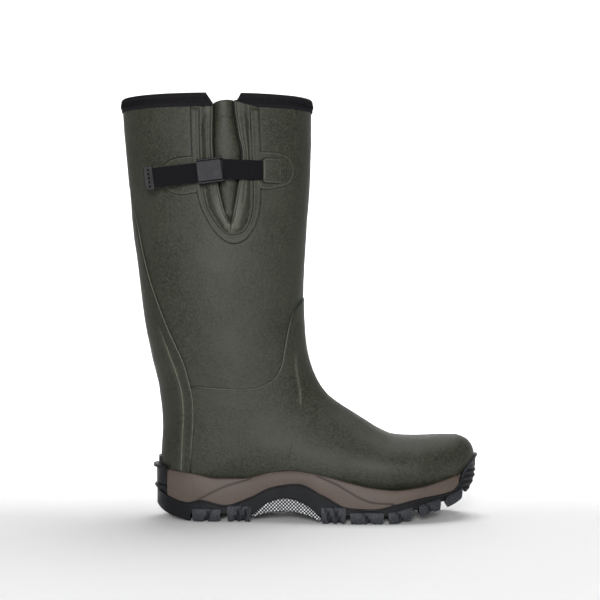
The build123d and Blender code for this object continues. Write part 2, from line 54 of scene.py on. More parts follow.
# Front (or top) point X Z, back (or bottom) point X Z, outer and inner half width, ridge Y, how boxy
# the front and back ends are, and the pull back at the toe when the section is offset inwards.
STATIONS = np.array([
    (12.0, 440.0, -179.0, 440.0, 56.0, 56.0, 0.0, 1.0, 1.0, 0.0),
    (11.5, 395.0, -176.5, 395.0, 55.0, 55.0, 0.0, 1.0, 1.0, 0.0),
    (10.5, 345.0, -172.0, 345.0, 53.5, 53.5, 0.0, 1.0, 1.0, 0.0),
    (7.5, 295.0, -166.5, 295.0, 51.5, 51.5, 0.0, 1.0, 1.0, 0.0),
    (4.5, 245.0, -160.0, 245.0, 49.0, 49.0, 0.0, 1.0, 1.0, 0.0),
    (3.0, 205.0, -154.5, 200.0, 46.5, 46.5, 0.0, 1.0, 1.0, 0.0),
    (5.0, 175.0, -147.5, 163.0, 44.0, 44.0, 0.0, 1.0, 1.0, 0.0),
    (9.5, 153.0, -139.0, 128.0, 42.0, 41.5, 0.0, 1.0, 1.0, 0.0),
    (16.0, 136.0, -136.0, 92.0, 40.5, 39.5, 0.0, 1.0, 0.9, 0.0),
    (26.0, 121.5, -137.0, 58.0, 40.0, 38.5, 0.0, 0.95, 0.72, 0.0),
    (38.0, 112.0, -122.0, 32.0, 40.0, 37.5, 0.0, 0.9, 0.6, 0.0),
    (52.0, 103.0, -72.0, 30.0, 41.0, 37.5, 0.5, 0.9, 0.58, 0.0),
    (66.0, 94.0, -18.0, 25.0, 44.5, 39.5, 1.0, 0.9, 0.58, 0.0),
    (80.0, 85.5, 34.0, 20.5, 50.0, 44.5, 2.0, 0.9, 0.6, 0.0),
    (94.0, 80.0, 72.0, 19.0, 53.0, 45.0, 4.0, 0.88, 0.6, 0.0),
    (115.0, 78.5, 106.0, 20.5, 51.5, 41.5, 6.5, 0.85, 0.62, 0.2),
    (137.0, 79.0, 134.0, 25.0, 45.0, 35.0, 8.5, 0.85, 0.65, 0.45),
    (154.5, 79.0, 153.0, 29.5, 34.5, 26.5, 9.5, 0.85, 0.7, 0.75),
    (165.5, 75.5, 165.0, 34.0, 23.5, 18.5, 10.0, 0.9, 0.8, 0.9),
    (171.5, 68.5, 171.5, 40.0, 13.0, 11.0, 10.0, 1.0, 1.0, 1.0),
    (173.2, 62.5, 173.2, 46.0, 7.0, 6.0, 10.0, 1.0, 1.0, 1.0),
    (173.8, 54.5, 173.8, 53.5, 0.6, 0.6, 10.0, 1.0, 1.0, 1.0),
])

LEVEL_STATIONS = 6  # how many of them, from the top, are level or nearly so

VAMP_SEAM = [(-107.4, 131.0), (-87.7, 129.5), (-56.6, 128.0), (-41.2, 129.5), (-25.8, 137.0),
             (-18.1, 149.2), (-15.0, 164.8), (-10.4, 189.6), (-4.9, 206.7), (4.0, 218.6)]
STAY_EDGE = [(-107.0, 47.8), (-106.0, 71.4), (-104.4, 94.8), (-104.8, 116.6), (-107.4, 131.0),
             (-114.4, 155.6), (-122.3, 172.6), (-134.1, 199.0), (-147.3, 234.9), (-155.5, 266.0),
             (-160.2, 290.0), (-165.8, 313.0), (-171.5, 338.0)]
STAY_RIDGE = [(-116.7, 40.0), (-114.9, 78.8), (-114.1, 110.0), (-117.9, 135.1), (-130.5, 169.3),
              (-142.0, 199.0)]
FRAME_OUTER = [(-106.5, 440.0), (-105.4, 392.0), (-104.0, 354.0), (-98.1, 313.0), (-89.5, 292.3),
               (-79.5, 277.7), (-66.5, 269.5), (-52.7, 273.2), (-42.5, 288.1), (-38.3, 304.4),
               (-37.5, 334.0), (-38.6, 378.3), (-41.5, 440.0)]
FRAME_INNER = [(-97.5, 440.0), (-96.5, 392.0), (-95.8, 354.0), (-90.8, 310.0), (-80.5, 289.4),
               (-72.8, 281.0), (-65.9, 278.4), (-59.0, 279.6), (-52.6, 283.6), (-47.0, 297.0),
               (-45.3, 319.0), (-47.4, 378.0), (-50.5, 440.0)]
REAR_FOLD = [(-84.0, 440.0), (-83.6, 397.0), (-83.2, 354.0), (-74.5, 307.0), (-67.4, 288.0)]
FRONT_FOLD = [(-64.0, 440.0), (-62.7, 401.0), (-59.1, 374.5), (-55.4, 352.6), (-60.6, 318.7),
              (-66.5, 286.5)]
FOLD_APEX_Z = 287.0  # where the two pleats start to part
FOLD_UNDER = np.array([(-0.5, 0.75), (-1.3, 0.1), (-1.7, -2.0), (-1.2, -5.0), (-0.2, -6.8)])  # X, height
GUSSET_TOP = 408.0
GUSSET_BELOW = 2.2  # how far the gusset goes on below the opening
GUSSET_OVERLAP = 2.6
GUSSET_THICK = 1.5
LIP_GAP = 1.2
REAR_PATCH = [(-99.0, 354.2), (-112.0, 353.6), (-122.0, 352.0), (-130.0, 347.5), (-134.3, 338.5),
              (-133.5, 329.5), (-129.3, 322.5), (-122.0, 318.0), (-113.0, 316.5), (-105.0, 317.6),
              (-98.0, 322.0)]
FRONT_PATCH = [(-40.0, 358.6), (-21.0, 358.6), (-10.5, 354.0), (-5.5, 342.4), (-9.8, 330.0),
               (-20.0, 324.6), (-40.0, 324.6)]
SEAM_LINES = [  # name, line, radius of the ridge, height above the shaft
    ("vamp_seam_line", VAMP_SEAM, 0.5, OVERLAY * 0.75),
    ("stay_seam_line", STAY_EDGE, 0.55, OVERLAY * 0.8),
    ("stay_ridge_line", STAY_RIDGE, 0.75, OVERLAY + 0.3),
]
POCKET = (-36.7, -19.4, 328.2, 352.4)
SURROUND_PROFILE = [  # share of the way across, height
    (-0.04, -1.0), (0.02, 0.5), (0.06, 1.05), (0.12, 1.3), (0.3, 1.25), (0.42, 1.05), (0.55, 1.15),
    (0.7, 1.3), (0.84, 1.3), (0.92, 1.15), (0.96, 0.5), (1.0, -0.1), (1.03, -0.7)]
SURROUND_TOP = 404.0
SURROUND_FADE_Z = 397.0
VAMP_CREASES = [  # line on the side, height, half width
    ([(-4.9, 166.0), (-4.1, 147.0), (-0.2, 125.5), (0.6, 110.0)], 0.55, 1.1),
    ([(-4.0, 85.0), (-10.0, 60.0), (-12.0, 50.0)], -0.45, 1.1),
    ([(20.0, 116.0), (17.0, 84.0)], -0.7, 5.0),
]

WEBBING_WIDTH = 19.0
WEBBING_THICK = 1.6
BUCKLE_CENTRE = (-85.7, 338.7)
BUCKLE_TILT = math.radians(7.0)
WEBBING_Y = -58.8
TAIL_U = (9.6, -60.0)
SPAN_LINE = [(-26.0, -43.0), (-37.0, -48.2), (-46.0, -53.0), (-58.0, -57.2), (-68.0, -58.9),
             (-74.0, -59.0)]
LOOP_LINE = [(-34.0, -49.0), (-26.0, -52.6), (-19.0, -55.3), (-14.5, -57.2), (-11.0, -58.05),
             (-8.0, -57.3), (-7.9, -55.6), (-12.0, -55.4), (-19.0, -53.8)]  # along the strap, Y
SPAN_LIFT = 1.9  # span centre above the buckle's centre

SOLE_PLAN = [(-143.0, 0.0), (-137.0, -17.0), (-122.0, -30.0), (-98.0, -37.5), (-60.0, -38.5),
             (-20.0, -43.0), (20.0, -50.0), (55.0, -54.5), (90.0, -53.5), (120.0, -46.5),
             (148.0, -32.0), (166.0, -14.0), (175.5, 8.0), (171.0, 25.0), (156.0, 38.5),
             (130.0, 47.0), (95.0, 52.0), (55.0, 51.0), (15.0, 44.5), (-20.0, 39.0),
             (-60.0, 37.0), (-98.0, 36.0), (-122.0, 29.0), (-137.0, 16.0)]
MIDSOLE_TOP = [(-160.0, 53.0), (-130.0, 48.5), (-104.0, 45.5), (-80.0, 41.2), (-57.0, 41.2),
               (-26.0, 48.0), (-8.0, 49.3), (23.0, 44.5), (47.0, 38.5), (70.0, 33.5),
               (94.0, 31.2), (118.0, 33.6), (142.0, 39.0), (180.0, 50.0)]
OUTSOLE_TOP = [(-160.0, 46.0), (-142.0, 31.0), (-132.0, 24.0), (-110.0, 17.6), (-96.6, 20.0),
               (-73.0, 15.2), (-49.6, 22.6), (-26.0, 33.6), (-2.4, 37.0), (23.0, 26.0),
               (46.5, 14.7), (70.0, 13.4), (93.0, 18.1), (116.5, 23.3), (148.0, 28.1),
               (156.0, 35.0), (160.5, 46.0), (168.0, 54.0), (182.0, 66.0)]
TREAD = [(-160.0, 30.0), (-143.0, 13.0), (-132.0, 6.5), (-118.0, 2.5), (-104.0, 0.0), (88.0, 0.0),
         (108.0, 4.5), (131.0, 10.0), (150.0, 15.5), (162.0, 22.5), (173.0, 34.5), (186.0, 60.0)]
CHECK_SIZE = 1.7
ARCH_X = (-46.5, 20.0)
ARCH_INSET = 1.5
ARCH_UNDERSIDE = [(-46.5, 4.5), (-30.0, 9.0), (-12.0, 10.6), (5.0, 7.6), (20.0, 2.0)]
ARCH_PLATE_TOP = [(-46.5, 5.5), (-32.0, 18.0), (-14.0, 23.0), (4.0, 18.0), (20.0, 4.0)]
GROOVE_DEPTH = 7.0
HEEL_BLOCK_X = -107.0
MIDSOLE_GROOVES = [
    [(-99.0, 20.0), (-95.4, 22.7), (-73.1, 33.8), (-51.9, 40.9), (-48.0, 43.0)],
    [(16.0, 46.5), (19.8, 44.4), (34.9, 37.9), (46.6, 31.0), (58.2, 24.5), (69.8, 20.4), (90.0, 18.8)],
]
RIB_PITCH = 5.5
RIBS_Z = (20.0, 52.0)
LUGS = [  # X from, X to, height of the side face, X of its notches
    (-105.0, -77.0, 13.0, (-90.0,)),
    (-71.0, -47.6, 16.0, (-61.0, -54.0)),
    (20.2, 44.2, 16.5, (28.0, 36.0)),
    (48.0, 80.6, 11.5, (65.0,)),
    (84.5, 108.5, 12.0, (97.0,)),
    (114.5, 137.0, 11.5, (126.0,)),
    (142.0, 160.0, 11.0, ()),
]
UPPER_BOTTOM = [(-150.0, 34.0), (-122.0, 32.0), (-72.0, 30.0), (-18.0, 25.0), (34.0, 20.5),
                (72.0, 19.0), (106.0, 20.5), (134.0, 25.0), (153.0, 29.5), (180.0, 40.0)]
FOOTBED_X = (-118.0, 144.0)
FOOTBED_FACES = (6.9, 12.2)  # above the bottom of the upper

STITCH_SWING = 1.7
STITCH_LIFT = 0.35

UPPER_ROWS = 430
UPPER_COLUMNS = 420
BINDING_STATIONS = 420
LINING_ROWS = 200
LINING_COLUMNS = 220
GUSSET_ROWS = 230
PLEAT_COLUMNS = 26
PANEL_COLUMNS = 34
SOLE_STATIONS = 470


# ---------------------------------------------------------------- curves and fields
def smooth_steps(places, values, wanted):
    """Values at the wanted places, on a smooth curve that never swings past its own points."""
    places, values = np.asarray(places, float), np.asarray(values, float)
    steps = np.diff(places)
    slopes = np.diff(values) / steps
    before, after = slopes[:-1], slopes[1:]
    same = before * after > 0
    middle = np.where(same, 2 * before * after / np.where(same, before + after, 1.0), 0.0)
    bends = np.concatenate([slopes[:1], middle, slopes[-1:]])
    i = np.clip(np.searchsorted(places, wanted, side="right") - 1, 0, len(steps) - 1)
    t = (wanted - places[i]) / steps[i]
    return (
        values[i] * (1 + 2 * t) * (1 - t) ** 2
        + values[i + 1] * t * t * (3 - 2 * t)
        + steps[i] * t * (1 - t) * (bends[i] * (1 - t) - bends[i + 1] * t)
    )


def height(line, x):
    """Z of a line drawn on the boot's side, at each X."""
    xs, zs = zip(*line)
    return smooth_steps(xs, zs, np.asarray(x, float))


def curve(points, closed=False, per_span=10):
    """Smooth line through the points."""
    points = np.array(points, float)
    if closed:
        padded = np.vstack([points[-1:], points, points[:2]])
    else:
        padded = np.vstack([2 * points[:1] - points[1:2], points, 2 * points[-1:] - points[-2:-1]])
    t = np.linspace(0, 1, per_span, endpoint=False)[:, None]
    spans = []
    for a, b, c, d in zip(padded, padded[1:], padded[2:], padded[3:]):
        bend = (2 * a - 5 * b + 4 * c - d) + t * (3 * (b - c) + d - a)
        spans.append(b + 0.5 * t * ((c - a) + t * bend))
    if not closed:
        spans.append(points[-1:])
    return np.vstack(spans)


def evenly(line, count):
    """The line resampled to evenly spaced points."""
    along = np.concatenate([[0.0], np.cumsum(np.linalg.norm(np.diff(line, axis=0), axis=1))])
    wanted = np.linspace(0, along[-1], count)
    return np.column_stack([np.interp(wanted, along, line[:, k]) for k in range(line.shape[1])])


def ease(value):
    """Smooth step from 0 to 1."""
    t = np.clip(value, 0, 1)
    return t * t * (3 - 2 * t)


def bump_line(distance, half_width):
    """1 on a line, falling smoothly to 0 beside it."""
    return np.exp(-((distance / half_width) ** 2))


def distance_to(line, x, z):
    """Distance to a line on the boot's side."""
    best = np.full(np.shape(x), 1e9)
    for (x0, z0), (x1, z1) in zip(line, line[1:]):
        dx, dz = x1 - x0, z1 - z0
        t = np.clip(((x - x0) * dx + (z - z0) * dz) / (dx * dx + dz * dz + 1e-12), 0, 1)
        best = np.minimum(best, np.hypot(x - x0 - t * dx, z - z0 - t * dz))
    return best


def depth_in(outline, x, z):
    """Distance to a closed outline on the boot's side: positive inside it."""
    odd = np.zeros(np.shape(x), bool)
    following = np.roll(outline, -1, axis=0)
    for (x0, z0), (x1, z1) in zip(outline, following):
        crosses = (z0 > z) != (z1 > z)
        rise = z1 - z0 if z1 != z0 else 1e-9
        odd ^= crosses & (x < x0 + (z - z0) * (x1 - x0) / rise)
    distance = distance_to(np.vstack([outline, outline[:1]]), x, z)
    return np.where(odd, distance, -distance)


def wander(points, size, seed=0.0):
    """Smooth noise from -1 to 1 at each point, with features of about the given size."""
    flat = points.reshape(-1, 3) / size + seed
    values = [noise.noise(Vector(p)) for p in flat]
    return np.array(values).reshape(points.shape[:-1])


def unit(vectors):
    """The vectors, each scaled to length 1."""
    return vectors / np.maximum(np.linalg.norm(vectors, axis=-1, keepdims=True), 1e-9)


def running_mean(values, reach):
    """Mean of each value and its neighbours up to reach places away."""
    window = 2 * reach + 1
    return np.convolve(np.pad(values, reach, mode="edge"), np.ones(window) / window, mode="valid")


def whole_cells(kept):
    """Cells of a wrapped grid whose four corners are all kept."""
    right = np.roll(kept, -1, axis=1)
    return kept[:-1] & right[:-1] & right[1:] & kept[1:]


def metres(points):
    return (np.asarray(points, float) + TO_ORIGIN) * MM


# ---------------------------------------------------------------- meshes
def add_piece(name, points, faces, material, paint=None, sharp=None):
    """Object from points in millimetres. paint holds values per point for the material."""
    mesh = bpy.data.meshes.new(name)
    mesh.from_pydata(metres(points).tolist(), [], [list(map(int, f)) for f in faces])
    mesh.update()
    for key, values in (paint or {}).items():
        mesh.attributes.new(key, "FLOAT", "POINT").data.foreach_set("value", values.astype(np.float32))
    mesh.polygons.foreach_set("use_smooth", [True] * len(mesh.polygons))
    if sharp is not None:
        mesh.set_sharp_from_angle(angle=math.radians(sharp))
    mesh.materials.append(material)
    made = bpy.data.objects.new(name, mesh)
    bpy.context.scene.collection.objects.link(made)
    return made


def faces_outward(points, faces):
    """The faces, turned round if they enclose a negative volume."""
    first = points[[f[0] for f in faces]]
    volume = 0.0
    for k in range(1, 3):
        second, third = points[[f[k] for f in faces]], points[[f[k + 1] for f in faces]]
        volume += np.einsum("ij,ij->i", first, np.cross(second, third)).sum()
    return faces if volume > 0 else [f[::-1] for f in faces]


def shell(name, outer, inner, material, keep=None, wrap=False, paint=None, sharp=None):
    """Closed piece between two grids of points, with the cells outside keep left out."""
    rows, columns = outer.shape[:2]
    count = rows * columns
    index = np.arange(count).reshape(rows, columns)
    right = np.roll(index, -1, axis=1)
    corners = np.stack([index[:-1], right[:-1], right[1:], index[1:]], axis=-1)
    if not wrap:
        corners = corners[:, :-1]
    quads = corners[np.ones(corners.shape[:2], bool) if keep is None else keep].reshape(-1, 4)
    edges = np.concatenate([quads[:, [k, (k + 1) % 4]] for k in range(4)])
    there = edges[:, 0] * 2 * count + edges[:, 1]
    back = edges[:, 1] * 2 * count + edges[:, 0]
    rim = edges[~np.isin(there, back)]
    sides = np.column_stack([rim[:, 1], rim[:, 0], rim[:, 0] + count, rim[:, 1] + count])
    faces = np.vstack([quads, quads[:, ::-1] + count, sides])
    used, faces = np.unique(faces, return_inverse=True)
    faces = faces.reshape(-1, 4)
    points = np.concatenate([outer.reshape(-1, 3), inner.reshape(-1, 3)])[used]
    painted = {}
    for key, values in (paint or {}).items():
        painted[key] = np.concatenate([values.ravel(), np.zeros(count)])[used]
    painted["lined"] = (used >= count).astype(float)
    return add_piece(name, points, faces_outward(points, faces), material, painted, sharp)


def tube(name, grid, material, closed=False, paint=None, sharp=None, weld=False):
    """Piece whose rows are closed loops of points, capped at both ends or joined into a ring."""
    rows, columns = grid.shape[:2]
    index = np.arange(rows * columns).reshape(rows, columns)
    ahead = np.roll(index, -1, axis=0) if closed else index[1:]
    here = index if closed else index[:-1]
    quads = np.stack([here, np.roll(here, -1, axis=1), np.roll(ahead, -1, axis=1), ahead], axis=-1)
    faces = quads.reshape(-1, 4).tolist()
    if not (closed or weld):
        faces += [index[0, ::-1].tolist(), index[-1].tolist()]
    points = grid.reshape(-1, 3)
    painted = {key: values.ravel() for key, values in (paint or {}).items()}
    made = add_piece(name, points, faces_outward(points, faces), material, painted, sharp)
    if weld:
        weld_mesh(made)
    return made


def weld_mesh(made):
    """Joins points that lie together, and drops the faces that vanish."""
    work = bmesh.new()
    work.from_mesh(made.data)
    bmesh.ops.remove_doubles(work, verts=work.verts, dist=0.02 * MM)
    bmesh.ops.dissolve_degenerate(work, edges=work.edges, dist=0.002 * MM)
    bmesh.ops.recalc_face_normals(work, faces=work.faces)
    work.to_mesh(made.data)
    work.free()


def normals_of(grid, wrap):
    """Unit normals of a grid of points. Which side they point to depends on how its columns run."""
    down = np.gradient(grid, axis=0)
    if wrap:
        along = np.roll(grid, -1, axis=1) - np.roll(grid, 1, axis=1)
    else:
        along = np.gradient(grid, axis=1)
    return unit(np.cross(along, down))


# ---------------------------------------------------------------- the upper's surface
def upper_places():
    """Place of each station along the upper: the way from the top, at the front plus at the back."""
    steps = np.diff(STATIONS, axis=0)
    return np.concatenate([[0.0], np.cumsum(np.hypot(*steps[:, 0:2].T) + np.hypot(*steps[:, 2:4].T))])


def upper_grid(rows, columns, offset=0.0):
    """Points of one layer's surface, from the rim to the toe. Columns run evenly round each half of
    a section, from its back point along the inner side to the front and home along the outer side."""
    places = upper_places()
    start = np.interp(-RUBBER_TOP, -STATIONS[:, 1], places)
    wanted = np.linspace(start, places[-1], rows)
    filled = np.column_stack([smooth_steps(places, STATIONS[:, k], wanted) for k in range(10)])
    half = columns // 2
    turn = np.linspace(0, math.pi, 181)
    grid = np.empty((rows, columns, 3))
    for row, values in enumerate(filled):
        front = np.array((values[0], values[6], values[1]))
        back = np.array((values[2], values[6], values[3]))
        line = (back - front) / max(np.linalg.norm(back - front), 1e-6)
        half_length = max(np.linalg.norm(back - front) / 2 + offset, 0.2)
        centre = (front + back) / 2 + np.array((values[9] * offset, 0, 0))
        for side, width in ((1, values[5]), (-1, values[4])):
            lengthwise, sideways = np.cos(turn), np.sin(turn)
            roundness = np.where(lengthwise > 0, values[8], values[7])
            power = 1 + (roundness - 1) * np.sqrt(np.abs(lengthwise))
            across = side * np.abs(sideways) ** power * max(width + offset, 0.2)
            points = centre + np.outer(half_length * lengthwise, line)
            points[:, 1] += across
            spread = evenly(points, half + 1)
            if side == 1:
                grid[row, :half] = spread[:-1]
            else:
                grid[row, half:] = spread[:0:-1]
    return grid


def shaft_section(z):
    """Middle X, half length and half width of the shaft at a height where its sections are level."""
    level = STATIONS[:LEVEL_STATIONS]
    front, back, width = (np.interp(-z, -level[:, 1], level[:, k]) for k in (0, 2, 4))
    return (front + back) / 2, (front - back) / 2, width


def shaft_face(x, z):
    """Points on the outer side of the shaft, where its sections are level."""
    centre, half, width = shaft_section(z)
    share = np.clip((x - centre) / half, -0.999, 0.999)
    y = -width * np.sqrt(1 - share**2)
    return np.stack([x, y, z + 0 * x], axis=-1)


def raised(x, z, heights):
    """Points above the outer side of the shaft, measured along its normal."""
    step = 0.5
    here = shaft_face(x, z)
    along = shaft_face(x + step, z) - shaft_face(x - step, z)
    up = shaft_face(x, z + step) - shaft_face(x, z - step)
    return here + unit(np.cross(along, up)) * np.asarray(heights)[..., None]


def stay_outline():
    corners = [(-FAR, STAY_EDGE[-1][1]), (-FAR, -FAR), (STAY_EDGE[0][0], -FAR)]
    return np.vstack([curve(STAY_EDGE), corners])


def foot_outline():
    corners = [(FAR, VAMP_SEAM[-1][1]), (FAR, -FAR), (-FAR, -FAR), (-FAR, VAMP_SEAM[0][1])]
    return np.vstack([curve(VAMP_SEAM), corners])


def vamp_creases(x, z):
    """Height of the flex creases in the vamp, and how much lighter the raised ones are painted: partly wear,
    partly painted highlight.
    """
    rise, wear_and_highlight = np.zeros(x.shape), np.zeros(x.shape)
    for line, lift, half_width in VAMP_CREASES:
        mark = bump_line(distance_to(curve(line), x, z), half_width)
        mark = mark * ease((z - line[-1][1] + 4.0) / 14.0) * ease((line[0][1] + 4.0 - z) / 22.0)
        rise += lift * mark
        # Raised creases are painted lighter: partly wear, partly a painted highlight.
        wear_and_highlight += 0.45 * mark if lift > 0 else 0.0
    return rise, wear_and_highlight


def make_upper(looks):
    """Shaft, vamp and back stay: rubber sheets that lap over each other at their seams."""
    grid = upper_grid(UPPER_ROWS, UPPER_COLUMNS)
    normal = normals_of(grid, wrap=True)
    middle = grid.mean(axis=1, keepdims=True)
    if np.sum(normal[: UPPER_ROWS // 2] * (grid - middle)[: UPPER_ROWS // 2]) < 0:
        normal = -normal
    x, y, z = grid[..., 0], grid[..., 1], grid[..., 2]
    soft = 0.5 * wander(grid, 38.0, 3.1) + 0.22 * wander(grid, 13.0, 7.7)
    inner = grid - RUBBER_THICK * normal

    in_stay = depth_in(stay_outline(), x, z)
    in_foot = depth_in(foot_outline(), x, z)
    in_vamp = np.minimum(in_foot, -in_stay)
    in_gusset = np.where(y < 0, depth_in(curve(FRAME_INNER), x, z), -FAR)

    def sheet(name, inside, lift, extra, wear_and_highlight, painted_shade, keep_from, hole=None):
        rise = -0.8 + (lift + 0.8) * ease((inside + 1.5) / 2.4)
        outer = grid + normal * (soft + rise + extra)[..., None]
        kept = inside > keep_from
        if hole is not None:
            kept &= hole < 3.0
        back = inner + normal * (soft * 0.9)[..., None]
        # Lighter paint for wear and painted highlights, darker paint for painted shade.
        paint = {"wear_and_highlight": wear_and_highlight, "painted_shade": painted_shade}
        return shell(name, outer, back, looks["rubber"], whole_cells(kept), True, paint)

    calm = np.zeros(x.shape)
    in_shaft = -np.maximum(in_foot, in_stay)
    near_patch = np.minimum(distance_to(curve(FRAME_OUTER), x, z), 50.0)
    # Painted shade: a dark line in the dip along the surround's outer edge, and a dark band on the shaft
    # where the vamp and the stay lap over it.
    outline_dip_and_shade = np.where(y < 0, bump_line(near_patch, 1.1), 0.0)
    shaft_edge_shade = 0.8 * bump_line(in_shaft + 0.2, 1.2)
    shaft = sheet("shaft_rubber", in_shaft + 3.2, 0.0, -0.25 * outline_dip_and_shade, calm,
                  shaft_edge_shade + 0.55 * outline_dip_and_shade, 0.0, in_gusset)

    crease, crease_wear_and_highlight = vamp_creases(x, z)
    # Painted shade along the step at the vamp's edge.
    vamp_edge_shade = 0.9 * bump_line(in_vamp + 0.1, 1.1)
    vamp = sheet("vamp_rubber", in_vamp, OVERLAY, crease, crease_wear_and_highlight, vamp_edge_shade, -3.2)

    ridge = bump_line(distance_to(curve(STAY_RIDGE), x, z), 2.4) * ease((200.0 - z) / 40.0)
    thin = ease((335.0 - z) / 60.0)
    # The stay's ridge is painted lighter (wear and painted highlight); painted shade runs along its edge,
    # and a floor of 0.22 darkens the whole stay below its top.
    stay = sheet("back_stay_rubber", in_stay, OVERLAY * thin - 0.6 * (1 - thin), 0.5 * ridge, 0.25 * ridge,
                 np.maximum(0.9 * bump_line(in_stay + 0.2, 1.1), 0.22) * thin, -3.2)

    make_seam_lines(grid + normal * soft[..., None], normal, looks)
    finish_piece(shaft, "boot", ["shaft_shell"])
    finish_piece(vamp, "boot", ["foot_shell", "vamp_overlay"])
    finish_piece(stay, "boot", ["back_stay"])


def make_seam_lines(smooth, normal, looks):
    """The ridges along the seams, on both sides of the boot."""
    for name, line, radius, lift in SEAM_LINES:
        for side, label in ((-1, "outer"), (1, "inner")):
            seam = seam_line(f"{name}_{label}", line, smooth + normal * lift, side, radius, looks)
            finish_piece(seam, "boot", [])


def seam_line(name, line, grid, side, radius, looks):
    """Thin moulded ridge that runs along a line on one side of the upper."""
    places = evenly(curve(line), 240)
    points = grid.reshape(-1, 3)
    points = points[(points[:, 1] * side > 0) & (points[:, 2] < places[:, 1].max() + 5)]
    path = []
    for px, pz in places:
        away = np.hypot(points[:, 0] - px, points[:, 2] - pz)
        near = np.argpartition(away, 5)[:5]
        weight = 1 / (away[near] + 0.05)
        path.append((points[near] * weight[:, None]).sum(axis=0) / weight.sum())
    path = np.stack([running_mean(run, 3) for run in np.array(path).T], axis=1)
    taper = ease(np.minimum(np.linspace(0, 12, 240), np.linspace(12, 0, 240) * 0.35))
    # The ridge is painted lighter along its length: a painted highlight.
    return cord_mesh(name, path, radius * (0.25 + 0.75 * taper), looks["rubber"], 8, wear_and_highlight=0.75 * taper)


def finish_piece(made, body, nodes):
    """Sets the body that the piece rides on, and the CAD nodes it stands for."""
    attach(made, body)
    if nodes:
        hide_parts(*nodes)
    return made


def make_lining(looks):
    """Neoprene sock inside the rubber, open where the gusset is let in."""
    outer, inner = (upper_grid(LINING_ROWS, LINING_COLUMNS, face) for face in LINING_FACES)
    opening = depth_in(curve(FRAME_INNER), outer[..., 0], outer[..., 2])
    kept = (outer[..., 1] > 0) | (opening < 1.5)
    made = shell("neoprene_sock", outer, inner, looks["lining"], whole_cells(kept), True)
    finish_piece(made, "boot", ["neoprene_lining"])


# ---------------------------------------------------------------- the gusset
def edge_x(line, z):
    """X of a nearly upright line at each height."""
    points = curve(line)
    order = np.argsort(points[:, 1])
    return np.interp(z, points[order, 1], points[order, 0])


def gusset_opening():
    """Height of each row of the gusset and of its foot, X of the opening's rear and front edge, and X
    where the gusset starts and ends behind them. Below the opening it closes to a point."""
    edge = curve(FRAME_INNER, per_span=24)
    lowest = edge[:, 1].argmin()
    middle_x, foot = edge[lowest]
    bottom = foot - GUSSET_BELOW
    z = (bottom + 0.05 + (GUSSET_TOP - bottom) * np.linspace(0, 1, GUSSET_ROWS) ** 1.35)[:, None]
    level = np.maximum(z, foot + 0.05)
    rear = np.interp(level, edge[lowest::-1, 1], edge[lowest::-1, 0])
    front = np.interp(level, edge[lowest:, 1], edge[lowest:, 0])
    closing = ease((z - bottom) / 8.0)
    start = middle_x + (rear - GUSSET_OVERLAP - middle_x) * closing - 0.4
    end = middle_x + (front + GUSSET_OVERLAP - middle_x) * closing + 0.4
    return z, bottom, rear, front, start, end


def gusset_lips(z):
    """X of the rear and front pleats' lips, held apart where their lines meet."""
    above = np.maximum(z, FOLD_APEX_Z + 1.0)
    rear, front = edge_x(REAR_FOLD, above), edge_x(FRONT_FOLD, above)
    spread = np.maximum(LIP_GAP - (front - rear), 0.0) / 2
    return rear - spread, front + spread


def fold_depth(z):
    """How far the folds have opened: 0 below their apex, 1 well above it."""
    return ease((z - FOLD_APEX_Z) / 16.0)


def pleat(z, bottom, edge, lip, start, crease_at):
    """X and height of one pleat, from its hidden start to its lip."""
    x = start + (lip - start) * np.linspace(0, 1, PLEAT_COLUMNS)[None, :]
    reach = np.where(np.abs(lip - edge) < 0.5, 0.5 * np.sign(lip - edge), lip - edge)
    across = np.clip((x - edge) / reach, 0, 1)
    flat = 1 - 0.75 * ease((z - 378.0) / 24.0)
    rise = flat * ease((z - bottom - 1.5) / 8.0)
    lift = -0.9 + 3.4 * ease(across / 0.55) * rise - 0.5 * across**2 * rise * fold_depth(z)
    lift = lift - 0.8 * bump_line(across - crease_at, 0.09) * rise * ease((z - 300.0) / 20.0)
    return x, np.where((x - edge) * np.sign(lip - edge) < 0, -0.9, lift)


def sunk_panel(z, left, right, left_lift, right_lift):
    """X and height of the panel between the walls of the two folds."""
    share = np.linspace(0, 1, PANEL_COLUMNS)[None, :]
    crown = 1 - (2 * share - 1) ** 2
    sunk = -1.4 - 3.2 * (1 - ease((z - 296.0) / 60.0))
    edge = left_lift + (right_lift - left_lift) * share
    lift = edge + (sunk - edge) * crown**0.6 * fold_depth(z)
    return left + (right - left) * share, lift - 0.4 * bump_line(z - 392.0, 0.7)


def gusset_paint(z, shape):
    """Painted shade in the folds beside the panel, and painted highlights on the pleats' lips, brightest
    near their apex.
    """
    painted_shade, wear_and_highlight = np.zeros(shape), np.zeros(shape)
    n = PLEAT_COLUMNS
    # Painted shade in the folds on each side of the sunk panel.
    for folds in (slice(n + 1, n + 7), slice(-n - 7, -n - 1)):
        painted_shade[:, folds] = 0.8 * fold_depth(z)
    # Painted highlight along the pleats' lips.
    near_lip = ease((np.linspace(0, 1, n) - 0.45) / 0.55)[None, :]
    apex = 0.35 + 0.65 * bump_line(z - 296.0, 26.0)
    wear_and_highlight[:, :n] = 0.55 * near_lip * apex
    wear_and_highlight[:, -n:] = 0.55 * near_lip[:, ::-1] * apex
    return {"wear_and_highlight": wear_and_highlight, "painted_shade": painted_shade}


